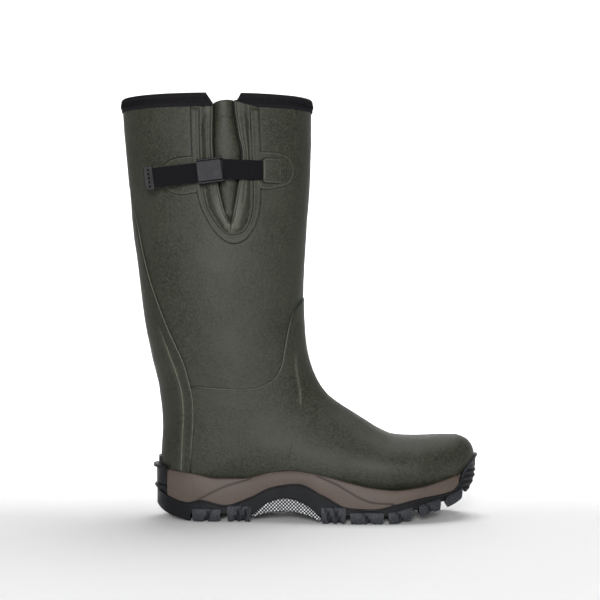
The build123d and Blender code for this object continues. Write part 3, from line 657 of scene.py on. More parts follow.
def make_gusset(looks):
    """Bellows in the calf: two pleats fold in over a sunk panel, which narrows to a point."""
    z, bottom, rear, front, start, end = gusset_opening()
    rear_lip, front_lip = gusset_lips(z)
    rear_x, rear_lift = pleat(z, bottom, rear, rear_lip, start, 0.7)
    front_x, front_lift = pleat(z, bottom, front, front_lip, end, 0.55)

    deep = fold_depth(z)
    under, down = FOLD_UNDER[None, :, 0], FOLD_UNDER[None, :, 1] - 1.0
    step = np.linspace(0, 1, len(FOLD_UNDER))[None, :] * 0.2
    rear_wall_x, rear_wall_lift = rear_lip + under * deep + step, rear_lift[:, -1:] + down * deep
    front_wall_x = front_lip - under[:, ::-1] * deep - step[:, ::-1]
    front_wall_lift = front_lift[:, -1:] + down[:, ::-1] * deep
    centre_x, centre_lift = sunk_panel(z, rear_wall_x[:, -1:] + 0.4, front_wall_x[:, :1] - 0.4,
                                       rear_wall_lift[:, -1:], front_wall_lift[:, :1])

    x = np.hstack([rear_x, rear_wall_x, centre_x, front_wall_x, front_x[:, ::-1]])
    lift = np.hstack([rear_lift, rear_wall_lift, centre_lift, front_wall_lift, front_lift[:, ::-1]])
    dip = 0.012 * (x + 68.0) ** 2 * ease((z - 385.0) / 22.0)
    outer = raised(x, z + 0 * x - dip, lift)
    outer[..., 1] += 0.35 * wander(outer, 14.0, 1.3) * ease((x - rear) / 4.0) * ease((front - x) / 4.0)
    normal = normals_of(outer, wrap=False)
    if normal[..., 1].mean() > 0:
        normal = -normal
    inner = outer - GUSSET_THICK * normal
    made = shell("gusset_bellows", outer, inner, looks["rubber"], paint=gusset_paint(z, x.shape))
    finish_piece(made, "boot", ["gusset_panel"])


def band_on_shaft(name, inner_line, outer_line, profile, count, look, shade_at, fade_from):
    """Raised band between two lines on the shaft, which thins out above the height fade_from.
    profile lists (share across, height)."""
    inner_line, outer_line = evenly(inner_line, count), evenly(outer_line, count)
    shares = np.array([p[0] for p in profile])
    heights = np.array([p[1] for p in profile])
    place = inner_line[:, None, :] + (outer_line - inner_line)[:, None, :] * shares[None, :, None]
    fade = 1 - ease((place[..., 1] - fade_from) / 4.0)
    lift = np.minimum(heights[None, :], 0.0) + np.maximum(heights[None, :], 0.0) * (0.05 + 0.95 * fade)
    outer = raised(place[..., 0], place[..., 1], lift)
    outer[..., 1] += 0.25 * wander(outer, 16.0, 5.0)
    inner = raised(place[..., 0], place[..., 1], np.full(lift.shape, -1.6))
    painted_shade = np.zeros(lift.shape)
    # Painted shade on the band's edge walls.
    painted_shade[:, shade_at] = 1.0
    return shell(name, outer, inner, look, paint={"painted_shade": painted_shade})


def below_rim(line):
    """The part of a smooth line that lies below the surround's top."""
    points = curve(line, per_span=16)
    return points[points[:, 1] < SURROUND_TOP]


def make_gusset_frame(looks):
    """Moulded surround of the gusset. It starts under the binding."""
    inner_line, outer_line = below_rim(FRAME_INNER), below_rim(FRAME_OUTER)
    made = band_on_shaft("gusset_surround", inner_line, outer_line, SURROUND_PROFILE, 380, looks["rubber"],
                         shade_at=[0, 1, 10, 11, 12], fade_from=SURROUND_FADE_Z)
    finish_piece(made, "boot", ["gusset_frame"])


def patch(name, outline, heights, nodes, looks, crown=0.0, base=0.0):
    """Thin moulded patch. heights lists (millimetres in from the edge, height)."""
    edge = evenly(curve(np.vstack([outline, outline[:1]]), per_span=12), 181)[:-1]
    middle = (edge.max(axis=0) + edge.min(axis=0)) / 2
    reach = np.linalg.norm(edge - middle, axis=1)
    rings = [middle + (edge - middle) * (1 - inset / reach)[:, None] for inset, _ in heights]
    lifts = [h for _, h in heights]
    for share in (0.8, 0.6, 0.4, 0.2, 0.02):
        rings.append(middle + (rings[len(heights) - 1] - middle) * share)
        lifts.append(heights[-1][1] + crown * (1 - share))
    place = np.array(rings)
    lift = np.array(lifts)[:, None] + base + 0 * place[..., 0]
    outer = raised(place[..., 0], place[..., 1], lift)
    outer[..., 1] += 0.2 * wander(outer, 16.0, 9.0)
    inner = raised(place[..., 0], place[..., 1], np.full(lift.shape, -1.5))
    painted_shade, wear_and_highlight = np.zeros(lift.shape), np.zeros(lift.shape)
    # Painted shade on the outer rings at the patch's edge; the ring on its raised rim is painted lighter,
    # wear and painted highlight.
    painted_shade[:3] = 0.9
    wear_and_highlight[4] = 0.35
    made = shell(name, outer, inner, looks["rubber"], wrap=True, paint={"painted_shade": painted_shade, "wear_and_highlight": wear_and_highlight})
    return finish_piece(made, "boot", nodes)


def rounded_box_outline(x_from, x_to, z_from, z_to, radius):
    points = []
    for cx, cz, start in ((x_to - radius, z_to - radius, 0), (x_from + radius, z_to - radius, 90),
                          (x_from + radius, z_from + radius, 180), (x_to - radius, z_from + radius, 270)):
        for turn in (0, 30, 60, 90):
            a = math.radians(start + turn)
            points.append((cx + radius * math.cos(a), cz + radius * math.sin(a)))
    return points


def make_patches(looks):
    """The two strap patches, and the raised pocket that holds the strap's fixed end."""
    edge = [(-0.6, -0.7), (-0.1, -0.1), (0.4, 0.8), (0.9, 1.15), (1.6, 1.3), (2.6, 1.25), (3.8, 1.2)]
    patch("rear_strap_patch_rubber", REAR_PATCH, edge, ["rear_strap_patch"], looks)
    patch("front_strap_patch_rubber", FRONT_PATCH, edge, ["front_strap_patch"], looks)
    pocket_edge = [(-0.8, 0.2), (-0.3, 1.1), (0.0, 2.4), (0.5, 3.6), (1.2, 4.1), (2.4, 4.3), (4.2, 4.3)]
    pocket = rounded_box_outline(*POCKET, 3.0)
    patch("strap_pocket_rubber", pocket, pocket_edge, [], looks, crown=0.25)


# ---------------------------------------------------------------- binding
def binding_profile():
    """Section of the binding: (offset from the shaft's face, Z), up the ribs, over the rim and down."""
    profile = []
    for step in np.linspace(0, 1, 22):
        rib = 0.8 * abs(math.sin(3 * math.pi * step)) ** 0.6
        profile.append((0.35 + rib, 401.3 + 12.0 * step))
    for turn in np.linspace(10, 170, 9):
        a = math.radians(turn)
        profile.append((-3.4 + 3.85 * math.cos(a), 413.1 + 1.9 * math.sin(a)))
    for step in np.linspace(0, 1, 8):
        profile.append((-7.3 - 0.3 * math.sin(3 * math.pi * step) ** 2, 413.0 - 11.4 * step))
    profile += [(-6.6, 401.2), (-3.0, 402.5), (-0.6, 402.2), (0.2, 401.2)]
    return np.array(profile)


def make_binding(looks):
    """Ribbed tape folded over the rim, with slanted ends at the gusset."""
    profile = binding_profile()
    z = profile[:, 1]
    rear_end = np.interp(z, (401.0, 405.0, 414.6), (-84.4, -84.0, -90.5))
    front_end = np.interp(z, (401.6, 406.0, 416.0), (-41.0, -61.0, -56.0))
    centre, half, width = shaft_section(z)
    half = half + profile[:, 0]
    start = -np.arccos((front_end - centre) / half)
    end = 2 * math.pi - np.arccos((rear_end - centre) / half)
    share = np.linspace(0, 1, BINDING_STATIONS)[:, None]
    turn = start + (end - start) * share
    y = (width + profile[:, 0]) * np.sin(turn)
    grid = np.stack([centre + half * np.cos(turn), y, z + 0 * turn], axis=-1)
    near_end = np.minimum(share, 1 - share) * 480.0
    grid[..., 1] += 0.25 * wander(grid, 9.0, 2.0) * ease(near_end / 6.0)
    made = tube("rim_binding", grid, looks["binding"])
    stitch = make_zigzag(grid[:, 11], looks)
    finish_piece(made, "boot", ["top_binding"])
    finish_piece(stitch, "boot", [])


def make_zigzag(path, looks):
    """Thread that zigzags along the binding's outer face."""
    line = evenly(path, 560)
    away = line - np.array((-83.0, 0.0, 0.0))
    away[:, 2] = 0
    centre = line + unit(away) * STITCH_LIFT
    centre[:, 2] += np.where(np.arange(len(line)) % 2 == 0, STITCH_SWING, -STITCH_SWING)
    return cord_mesh("binding_stitch", centre, 0.33, looks["thread"], 6)


def cord_mesh(name, path, radius, look, sides, wear_and_highlight=None):
    """Round tube along a path. radius is one value, or one per point."""
    tangent = unit(np.gradient(path, axis=0))
    first = unit(np.cross(tangent, (0.0, 0.0, 1.0)))
    second = np.cross(tangent, first)
    turn = np.linspace(0, 2 * math.pi, sides, endpoint=False)
    ring = first[:, None] * np.cos(turn)[None, :, None] + second[:, None] * np.sin(turn)[None, :, None]
    thick = np.broadcast_to(np.asarray(radius, float), len(path))[:, None, None]
    paint = None if wear_and_highlight is None else {"wear_and_highlight": np.repeat(wear_and_highlight[:, None], sides, axis=1)}
    return tube(name, path[:, None] + ring * thick, look, paint=paint)


# ---------------------------------------------------------------- strap and buckle
def strap(name, path, across, width, thick, look):
    """Flat webbing along a path: slightly crowned, with rolled edges."""
    out = unit(np.cross(unit(np.gradient(path, axis=0)), across))
    half, thin = width / 2, thick / 2
    ring = []
    for turn in np.linspace(0, 2 * math.pi, 40, endpoint=False):
        c, s = math.cos(turn), math.sin(turn)
        ring.append((half * math.copysign(abs(c) ** 0.22, c), thin * math.copysign(abs(s) ** 0.6, s)))
    ring = np.array(ring)
    crosswise = ring[None, :, :1] * np.asarray(across)[None, None]
    return tube(name, path[:, None] + crosswise + ring[None, :, 1:] * out[:, None], look, sharp=50)


def buckle_axes():
    along = np.array((math.cos(BUCKLE_TILT), 0.0, math.sin(BUCKLE_TILT)))
    across = np.array((-math.sin(BUCKLE_TILT), 0.0, math.cos(BUCKLE_TILT)))
    return along, across, np.array((BUCKLE_CENTRE[0], 0.0, BUCKLE_CENTRE[1]))


def in_buckle(path):
    """Path of (distance along the strap, Y) in the buckle's own directions."""
    along, _, centre = buckle_axes()
    path = np.asarray(path, float)
    return centre + path[:, :1] * along + path[:, 1:] * np.array((0.0, 1.0, 0.0))


def make_straps(looks):
    _, across, _ = buckle_axes()
    middle = WEBBING_Y - WEBBING_THICK / 2
    us = np.linspace(TAIL_U[0], TAIL_U[1] - 2.0, 90)
    tail_path = in_buckle(np.column_stack([us, middle + 0.12 * np.sin(us / 9.0)]))
    width = WEBBING_WIDTH - 0.3
    tail = strap("strap_tail_webbing", tail_path, across, width, WEBBING_THICK, looks["webbing"])
    finish_piece(tail, "strap_tail", ["strap_tail"])

    line = evenly(curve([(x, y - WEBBING_THICK / 2) for x, y in SPAN_LINE]), 90)
    sag = 0.5 * np.sin(np.linspace(0, math.pi, 90))
    path = np.column_stack([line, BUCKLE_CENTRE[1] + SPAN_LIFT - sag])
    span = strap("strap_span_webbing", path, np.array((0.0, 0.0, 1.0)), WEBBING_WIDTH, WEBBING_THICK,
                 looks["webbing"])
    finish_piece(span, "boot", ["strap_span"])

    loop = strap("anchor_loop_webbing", in_buckle(evenly(curve(LOOP_LINE), 60)), across, 17.6, 0.9,
                 looks["webbing"])
    finish_piece(loop, "boot", ["anchor_loop"])


# ---------------------------------------------------------------- the sole
def plan_sides(count):
    """X places from heel to toe, bunched at both ends, with the sole's outer and inner edge there."""
    ring = curve(SOLE_PLAN, closed=True, per_span=20)
    toe = int(ring[:, 0].argmax())
    heel = int(ring[:, 0].argmin())
    ring = np.roll(ring, -heel, axis=0)
    toe = (toe - heel) % len(ring)
    outer, inner = ring[: toe + 1], np.vstack([ring[toe:], ring[:1]])[::-1]
    x = ring[0, 0] + (ring[toe, 0] - ring[0, 0]) * (1 - np.cos(np.linspace(0, math.pi, count))) / 2
    return x, np.interp(x, outer[:, 0], outer[:, 1]), np.interp(x, inner[:, 0], inner[:, 1])


def sole_loop(count):
    """Closed loop round the sole, heel to toe along the outer side and back, with outward normals."""
    x, outer, inner = plan_sides(count)
    loop = np.vstack([np.column_stack([x, outer]), np.column_stack([x, inner])[-2:0:-1]])
    tangent = unit(np.roll(loop, -1, axis=0) - np.roll(loop, 1, axis=0))
    normal = np.column_stack([tangent[:, 1], -tangent[:, 0]])
    return loop, normal


def ring_rows(loop, normal, rows):
    """Grid of rows round the sole. Each row is (outset, Z, share of the width kept)."""
    middle_y = np.interp(loop[:, 0], *centre_line())
    found = []
    for outset, z, kept in rows:
        place = loop + normal * np.asarray(outset)[..., None]
        y = middle_y + (place[:, 1] - middle_y) * kept
        found.append(np.column_stack([place[:, 0], y, z + 0 * y]))
    return np.array(found)


def centre_line():
    x, outer, inner = plan_sides(200)
    return x, (outer + inner) / 2


def make_midsole(looks):
    """Foam band between the upper and the outsole, with two long grooves on each side."""
    loop, normal = sole_loop(SOLE_STATIONS)
    x = loop[:, 0]
    low, high = height(OUTSOLE_TOP, x) - 1.5, height(MIDSOLE_TOP, x)
    hidden = np.maximum(ease((-129.5 - x) / 3.0), ease((x - 154.5) / 4.0))
    high = np.maximum(high, low + 1.0)
    high = high * (1 - ease((x - 156.0) / 5.0)) + np.minimum(high, low + 2.0) * ease((x - 156.0) / 5.0)
    rows, painted = [], []
    shares = np.linspace(0, 1, 36)
    grooves = [curve(g) for g in MIDSOLE_GROOVES]
    for share in shares:
        z = low + (high - low) * share
        swell = 0.9 * math.sin(math.pi * min(share * 1.02, 1.0)) ** 0.8 - 1.1 * share**6
        mark = np.zeros(len(x))
        for painted_shade in grooves:
            mark = np.maximum(mark, bump_line(distance_to(painted_shade, x, z), 0.75))
        rows.append((swell - 0.8 * mark - 2.6 * hidden, z, 1.0))
        # The grooves are painted darker: painted shade.
        painted.append(mark)
    rows += [(-2.0 - 2.6 * hidden, high + 0.35, 1.0), (-6.0, high + 0.5, 1.0), (-9.0, high - 1.0, 1.0),
             (-9.0, low, 1.0), (-2.0 - 2.6 * hidden, low - 0.3, 1.0)]
    painted += [np.zeros(len(x))] * 5
    grid = ring_rows(loop, normal, rows)
    paint = {"painted_shade": np.array(painted).T.copy()}
    made = tube("midsole_foam", grid.transpose(1, 0, 2), looks["midsole"], closed=True, paint=paint)
    finish_piece(made, "boot", ["midsole"])


def wall_foot(x):
    """Z of the outsole's underside between the lugs; in the arch it stays at or above the plate's top."""
    base = height(TREAD, x) + GROOVE_DEPTH * ease((x - HEEL_BLOCK_X + 0.4) / 0.8) * ease((166.0 - x) / 6.0)
    arch = height(ARCH_PLATE_TOP, np.clip(x, *ARCH_X))
    inside = (x > ARCH_X[0]) & (x < ARCH_X[1])
    return np.where(inside, np.maximum(arch, np.minimum(base, arch + 1.5)), base)


def make_outsole(looks):
    """Black outsole: a lipped wall round the midsole, a toe bumper with ribs, and the floor of the tread."""
    loop, normal = sole_loop(SOLE_STATIONS)
    x = loop[:, 0]
    top = height(OUTSOLE_TOP, x)
    foot = np.minimum(wall_foot(x), top - 3.0)
    toe = ease((x - 150.0) / 10.0)
    lean = 1.7 * ease((x - 148.0) / 12.0)
    rows = [(-9.0, top - 2.0, 0.0), (-9.0, top - 2.0, 1.0), (-2.4 + lean, top + 0.2, 1.0),
            (-0.9 + lean, top + 1.0, 1.0), (0.2 + lean, top + 1.15, 1.0), (1.0 + lean, top + 0.6, 1.0),
            (1.1 + lean, top - 0.3, 1.0), (0.6 + lean, top - 1.1, 1.0)]
    for share in np.linspace(0.0, 1.0, 26):
        z = top - 1.6 + (foot + 1.2 - (top - 1.6)) * share
        wave = np.clip(np.sin(z * 2 * math.pi / RIB_PITCH) * 1.6, -1, 1)
        ribs = toe * wave * ease((z - RIBS_Z[0]) / 6.0) * ease((RIBS_Z[1] - z) / 6.0)
        easing = lean * (1 - share) ** 0.6
        rows.append((-0.5 + easing + 0.6 * ribs, z, 1.0))
    rows += [(-1.0, foot + 0.3, 1.0), (-2.0, foot, 1.0)]
    rows += [(-2.0, foot, kept) for kept in (0.8, 0.6, 0.4, 0.2, 0.0)]
    grid = ring_rows(loop, normal, rows)
    wear_and_highlight = np.zeros(grid.shape[:2])
    # Painted highlight along the toe bumper's top lip.
    wear_and_highlight[3:6] = 0.7 * toe
    made = tube("outsole_base", grid, looks["outsole"], paint={"wear_and_highlight": wear_and_highlight}, sharp=35, weld=True)
    finish_piece(made, "boot", ["outsole"])


def side_edge(x, side):
    xs, outer, inner = plan_sides(300)
    return np.interp(x, xs, outer if side < 0 else inner)


def make_lug(name, x_from, x_to, face_height, notches, side, looks):
    """One tread block, from the sole's edge in to the middle split."""
    stations = max(int((x_to - x_from) / 0.8), 12)
    share = np.linspace(0, 1, stations)
    profile = [  # outset from the sole's edge, share of the height, X taper at each end
        (-3.0, 1.02, 1.5), (-0.4, 1.0, 0.9), (0.9, 0.93, 0.4), (1.5, 0.8, 0.1), (1.6, 0.45, 0.3),
        (1.4, 0.15, 0.8), (0.9, 0.04, 1.2), (-0.2, 0.0, 1.6), (-8.0, 0.0, 1.6), (-18.0, 0.0, 1.8),
        (None, 0.0, 2.0), (None, 0.1, 1.4), (None, 0.75, 0.2)]
    columns, cuts = [], []
    for outset, tall, taper in profile:
        x = x_from + taper + (x_to - x_from - 2 * taper) * share
        cut = 0 * x
        for at in notches:
            slant = 7.0 * (tall - 0.3) * (1 if x_from < 0 else -1)
            cut = cut + np.clip(1 - np.abs(x - at - slant) / (0.8 + 2.2 * (1 - tall)), 0, 1)
        cut = np.minimum(cut, 1.0)
        cuts.append(cut)
        ground = height(TREAD, x)
        edge = side_edge(x, side)
        if outset is None:
            y = side * 2.4 + 0.8 * np.sin(x * 0.35) + split_y(x)
        else:
            y = edge + side * (outset - 4.0 * cut * (1.0 if outset > -1 else 0.0) * (1.15 - tall))
        lift = 2.8 * cut * (1.0 if tall < 0.1 and outset is not None and outset > -5 else 0.0)
        rise = face_height if outset is not None else min(face_height, GROOVE_DEPTH + 1.5)
        z = ground + tall * rise + lift
        columns.append(np.column_stack([x, y, z]))
    grid = np.stack(columns, axis=1)
    wear_and_highlight = np.zeros(grid.shape[:2])
    # The side faces take the lighter grey of the lug faces.
    wear_and_highlight[:, 1:8] = 0.75
    # The notches stay black: painted shade in the cuts.
    wear_and_highlight *= 1 - np.stack(cuts, axis=1)
    made = tube(name, grid, looks["outsole"], paint={"wear_and_highlight": wear_and_highlight}, sharp=30)
    finish_piece(made, "boot", [])


def split_y(x):
    """Y of the split between the outer and the inner lugs."""
    return np.interp(x, *centre_line()) * 0.6


def make_lugs(looks):
    for number, (x_from, x_to, face_height, notches) in enumerate(LUGS, 1):
        for side, label in ((-1, "outer"), (1, "inner")):
            make_lug(f"lug_{label}_{number}", x_from, x_to, face_height, notches, side, looks)


def make_arch_plate(looks):
    """Checked plate under the arch, its sides just inside the sole's edge."""
    x = np.linspace(ARCH_X[0] + 0.3, ARCH_X[1] - 0.3, 70)
    low, high = height(ARCH_UNDERSIDE, x), height(ARCH_PLATE_TOP, x) + 1.2
    outer, inner = side_edge(x, -1) + ARCH_INSET, side_edge(x, 1) - ARCH_INSET
    columns = []
    for share in np.linspace(1, 0, 12):
        columns.append((outer, low + (high - low) * share))
    columns += [(outer + 0.5, low - 0.3), (outer + 3.0, low - 0.5), (0 * x, low + 0.4),
                (inner - 3.0, low - 0.5), (inner - 0.5, low - 0.3)]
    for share in np.linspace(0, 1, 12):
        columns.append((inner, low + (high - low) * share))
    grid = np.stack([np.column_stack([x, y, z]) for y, z in columns], axis=1)
    dark = np.zeros(grid.shape[:2])
    # Painted shade on the underside and on the top edges that tuck under the sole.
    dark[:, 11:18] = 1.0
    dark[:, :2] = dark[:, -2:] = 0.7
    made = tube("arch_check_plate", grid, looks["check_plate"], sharp=40, paint={"painted_shade": dark})
    finish_piece(made, "boot", ["arch_plate"])


def make_footbed(looks):
    """Loose insole with a shallow heel cup."""
    stations, columns = 150, 31
    inside = upper_grid(200, 240, -7.4)
    x = FOOTBED_X[0] + (FOOTBED_X[1] - FOOTBED_X[0]) * (1 - np.cos(np.linspace(0, math.pi, stations))) / 2
    floor = height(UPPER_BOTTOM, x)
    low, high = floor + FOOTBED_FACES[0], floor + FOOTBED_FACES[1]
    edges = []
    for side in (-1, 1):
        points = inside.reshape(-1, 3)
        points = points[np.sign(points[:, 1] - 5.0 * (points[:, 0] > 60)) == side]
        y = []
        for place, z in zip(x, (low + high) / 2):
            near = np.hypot(points[:, 0] - place, points[:, 2] - z)
            y.append(points[near.argmin(), 1])
        edges.append(running_mean(y, 4))
    ends = np.sqrt(np.clip(np.minimum(x - x[0], x[-1] - x) / 24.0, 0, 1))
    middle = (edges[0] + edges[1]) / 2
    share = np.linspace(-1, 1, columns)
    wide = middle[:, None] + (edges[1] - edges[0])[:, None] / 2 * share * np.maximum(ends, 0.04)[:, None]
    cup = 2.2 * (np.abs(share) ** 6) * ease((20.0 - x) / 60.0)[:, None]
    crown = 0.35 * wander(np.stack([x[:, None] + 0 * wide, wide, 0 * wide], axis=-1), 25.0, 4.0)
    rolled = 1.2 * np.abs(share) ** 14
    top = high[:, None] - 0.6 + cup - rolled + crown * (1 - np.abs(share) ** 4)
    base = low[:, None] + 0.5 * np.abs(share) ** 10 + 0 * wide
    xs = x[:, None] + 0 * wide
    outer, inner = np.stack([xs, wide, top], axis=-1), np.stack([xs, wide, base], axis=-1)
    made = shell("footbed_felt", outer, inner, looks["footbed"], sharp=60)
    finish_piece(made, "footbed", ["footbed"])


# ---------------------------------------------------------------- materials
class Look:
    """A procedural material and short ways to add nodes to it."""

    def __init__(self, name, roughness, specular=0.5):
        self.material = bpy.data.materials.new(name)
        self.material.use_nodes = True
        self.tree = self.material.node_tree
        self.shader = self.tree.nodes["Principled BSDF"]
        self.shader.inputs["Roughness"].default_value = roughness
        self.shader.inputs["Specular IOR Level"].default_value = specular
        self.place = self.add("ShaderNodeTexCoord").outputs["Object"]

    def add(self, kind, settings=None, values=None, links=None):
        made = self.tree.nodes.new(kind)
        for key, value in (settings or {}).items():
            setattr(made, key, value)
        for key, value in (values or {}).items():
            made.inputs[key].default_value = value
        for key, socket in (links or {}).items():
            self.tree.links.new(socket, made.inputs[key])
        return made

    def math(self, operation, a, b=None):
        made = self.add("ShaderNodeMath", {"operation": operation})
        for k, value in enumerate((a, b)):
            if value is None:
                continue
            if isinstance(value, (int, float)):
                made.inputs[k].default_value = value
            else:
                self.tree.links.new(value, made.inputs[k])
        return made.outputs[0]

    def noise(self, scale, detail=2.0, rough=0.5):
        made = self.add("ShaderNodeTexNoise", None, {"Scale": scale, "Detail": detail, "Roughness": rough},
                        {"Vector": self.place})
        return made.outputs["Fac"]

    def stretched(self, scale, detail, stretch):
        """Noise with its pattern stretched along an axis."""
        mapped = self.add("ShaderNodeMapping", None, {"Scale": stretch}, {"Vector": self.place})
        made = self.add("ShaderNodeTexNoise", None, {"Scale": scale, "Detail": detail},
                        {"Vector": mapped.outputs[0]})
        return made.outputs["Fac"]

    def waves(self, scale, direction, distortion=0.0):
        made = self.add("ShaderNodeTexWave", {"wave_type": "BANDS", "bands_direction": direction},
                        {"Scale": scale, "Distortion": distortion, "Detail": 1.0}, {"Vector": self.place})
        return made.outputs["Fac"]

    def painted(self, name):
        return self.add("ShaderNodeAttribute", {"attribute_name": name}).outputs["Fac"]

    def spread(self, factor, low, high, to_low=0.0, to_high=1.0):
        made = self.add("ShaderNodeMapRange", None, {"From Min": low, "From Max": high, "To Min": to_low,
                                                     "To Max": to_high}, {"Value": factor})
        return made.outputs[0]

    def mix(self, factor, first, second):
        made = self.add("ShaderNodeMix", {"data_type": "RGBA"})
        for k, value in ((0, factor), (6, first), (7, second)):
            if isinstance(value, tuple):
                made.inputs[k].default_value = (*value, 1.0)
            elif isinstance(value, (int, float)):
                made.inputs[k].default_value = value
            else:
                self.tree.links.new(value, made.inputs[k])
        return made.outputs[2]

    def bump(self, height_socket, distance, strength=1.0, under=None):
        links = {"Height": height_socket}
        if under is not None:
            links["Normal"] = under
        made = self.add("ShaderNodeBump", None, {"Strength": strength, "Distance": distance}, links)
        return made.outputs["Normal"]

    def finish(self, colour, roughness=None, normal=None):
        self.tree.links.new(colour, self.shader.inputs["Base Color"])
        if roughness is not None:
            self.tree.links.new(roughness, self.shader.inputs["Roughness"])
        if normal is not None:
            self.tree.links.new(normal, self.shader.inputs["Normal"])
        return self.material


def rubber_look():
    look = Look("rubber_olive", 0.6, 0.3)
    mottle, broad, grain = look.noise(420.0, 4.0, 0.65), look.noise(22.0, 3.0), look.noise(1500.0, 2.0)
    base = look.mix(look.spread(mottle, 0.34, 0.68), (0.012, 0.0132, 0.0075), (0.041, 0.044, 0.0295))
    base = look.mix(look.spread(broad, 0.42, 0.7, 0.0, 0.45), base, (0.041, 0.044, 0.032))
    # Lighter colour where the mask is set: wear on raised edges and creases, and painted highlights on
    # ridges, lips and rims.
    wear_and_highlight = look.math("MULTIPLY", look.painted("wear_and_highlight"), look.spread(mottle, 0.3, 0.6, 0.5, 1.0))
    base = look.mix(wear_and_highlight, base, (0.13, 0.14, 0.1))
    # Painted shade: near black in folds, grooves and along the steps at seams and edges; it also darkens the
    # lower back stay slightly.
    base = look.mix(look.painted("painted_shade"), base, (0.006, 0.007, 0.005))
    base = look.mix(look.painted("lined"), base, (0.012, 0.012, 0.013))
    rough = look.spread(mottle, 0.3, 0.7, 0.42, 0.62)
    normal = look.bump(mottle, 0.0006, 0.7, look.bump(grain, 0.00015, 0.6))
    return look.finish(base, rough, normal)


def woven_look(name, dark, light, rib_scale, direction, roughness):
    """Woven or knit cloth: fine ribs one way, crossed by finer threads."""
    look = Look(name, roughness, 0.12)
    ribs, cross, fuzz = look.waves(rib_scale, direction), look.noise(2200.0, 2.0), look.noise(300.0, 3.0)
    weave = look.math("ADD", look.math("MULTIPLY", ribs, 0.6), look.math("MULTIPLY", cross, 0.4))
    base = look.mix(look.spread(weave, 0.2, 0.8), dark, light)
    base = look.mix(look.spread(fuzz, 0.4, 0.75, 0.0, 0.5), base, light)
    normal = look.bump(weave, 0.0003, 0.7)
    return look.finish(base, look.spread(fuzz, 0.3, 0.7, roughness - 0.08, roughness + 0.08), normal)


def plastic_look(name, dark, light, roughness, grain_depth):
    """Moulded plastic with a fine grain and a little scuffing."""
    look = Look(name, roughness, 0.16)
    grain, scuff = look.noise(1300.0, 2.0, 0.7), look.noise(90.0, 4.0, 0.7)
    base = look.mix(look.spread(grain, 0.35, 0.7), dark, light)
    base = look.mix(look.spread(scuff, 0.55, 0.8, 0.0, 0.3), base, light)
    return look.finish(base, look.spread(scuff, 0.3, 0.7, roughness - 0.06, roughness + 0.1),
                       look.bump(grain, grain_depth, 0.8))


def midsole_look():
    look = Look("midsole_brown", 0.62)
    fine, broad = look.noise(900.0, 3.0), look.noise(40.0, 3.0)
    base = look.mix(look.spread(fine, 0.35, 0.7), (0.07, 0.05, 0.04), (0.096, 0.069, 0.056))
    base = look.mix(look.spread(broad, 0.4, 0.7, 0.0, 0.4), base, (0.058, 0.041, 0.033))
    # Painted shade in the grooves.
    base = look.mix(look.painted("painted_shade"), base, (0.02, 0.014, 0.011))
    return look.finish(base, look.spread(fine, 0.3, 0.7, 0.55, 0.7), look.bump(fine, 0.00012, 0.5))


def outsole_look():
    look = Look("outsole_black", 0.5, 0.2)
    grain, broad = look.noise(1100.0, 3.0, 0.7), look.noise(70.0, 3.0)
    base = look.mix(look.spread(grain, 0.35, 0.7), (0.0025, 0.003, 0.004), (0.007, 0.0075, 0.0095))
    # Lighter grey: the lug faces' own colour; on the toe bumper's lip the same mask paints a highlight.
    faces = look.mix(look.spread(grain, 0.4, 0.62), (0.012, 0.013, 0.016), (0.062, 0.065, 0.076))
    base = look.mix(look.painted("wear_and_highlight"), base, faces)
    rough = look.spread(broad, 0.3, 0.7, 0.4, 0.58)
    return look.finish(base, rough, look.bump(grain, 0.0003, 0.8))


def check_look():
    """Bright spots on black, set like the squares of a checked board."""
    look = Look("check_plate", 0.4, 0.3)
    parts = look.add("ShaderNodeSeparateXYZ", None, None, {"Vector": look.place})
    x, z = parts.outputs["X"], parts.outputs["Z"]
    turns = math.pi / (CHECK_SIZE * MM)
    waves = [look.math("SINE", look.math("MULTIPLY", run, turns)) for run in (x, z)]
    diamond = look.spread(look.math("MULTIPLY", *waves), 0.02, 0.4)
    speck = look.noise(700.0, 2.0)
    bright = look.mix(look.spread(speck, 0.35, 0.65), (0.4, 0.41, 0.43), (0.85, 0.86, 0.88))
    base = look.mix(diamond, (0.004, 0.004, 0.005), bright)
    # Painted shade on the underside and the top edges.
    base = look.mix(look.painted("painted_shade"), base, (0.006, 0.006, 0.007))
    return look.finish(base, look.spread(diamond, 0.0, 1.0, 0.5, 0.35), look.bump(diamond, 0.0003, 0.8))


def steel_look():
    look = Look("spring_steel", 0.32)
    look.shader.inputs["Metallic"].default_value = 1.0
    brushed = look.stretched(600.0, 3.0, (0.08, 1.0, 1.0))
    base = look.mix(look.spread(brushed, 0.3, 0.7), (0.42, 0.42, 0.43), (0.62, 0.62, 0.63))
    return look.finish(base, look.spread(brushed, 0.3, 0.7, 0.25, 0.42), look.bump(brushed, 0.00005, 0.5))


def board_look():
    look = Look("fibre_board", 0.85)
    fibre = look.stretched(500.0, 4.0, (0.3, 1.0, 1.0))
    base = look.mix(look.spread(fibre, 0.3, 0.7), (0.3, 0.24, 0.16), (0.52, 0.44, 0.33))
    return look.finish(base, None, look.bump(fibre, 0.0002, 0.6))


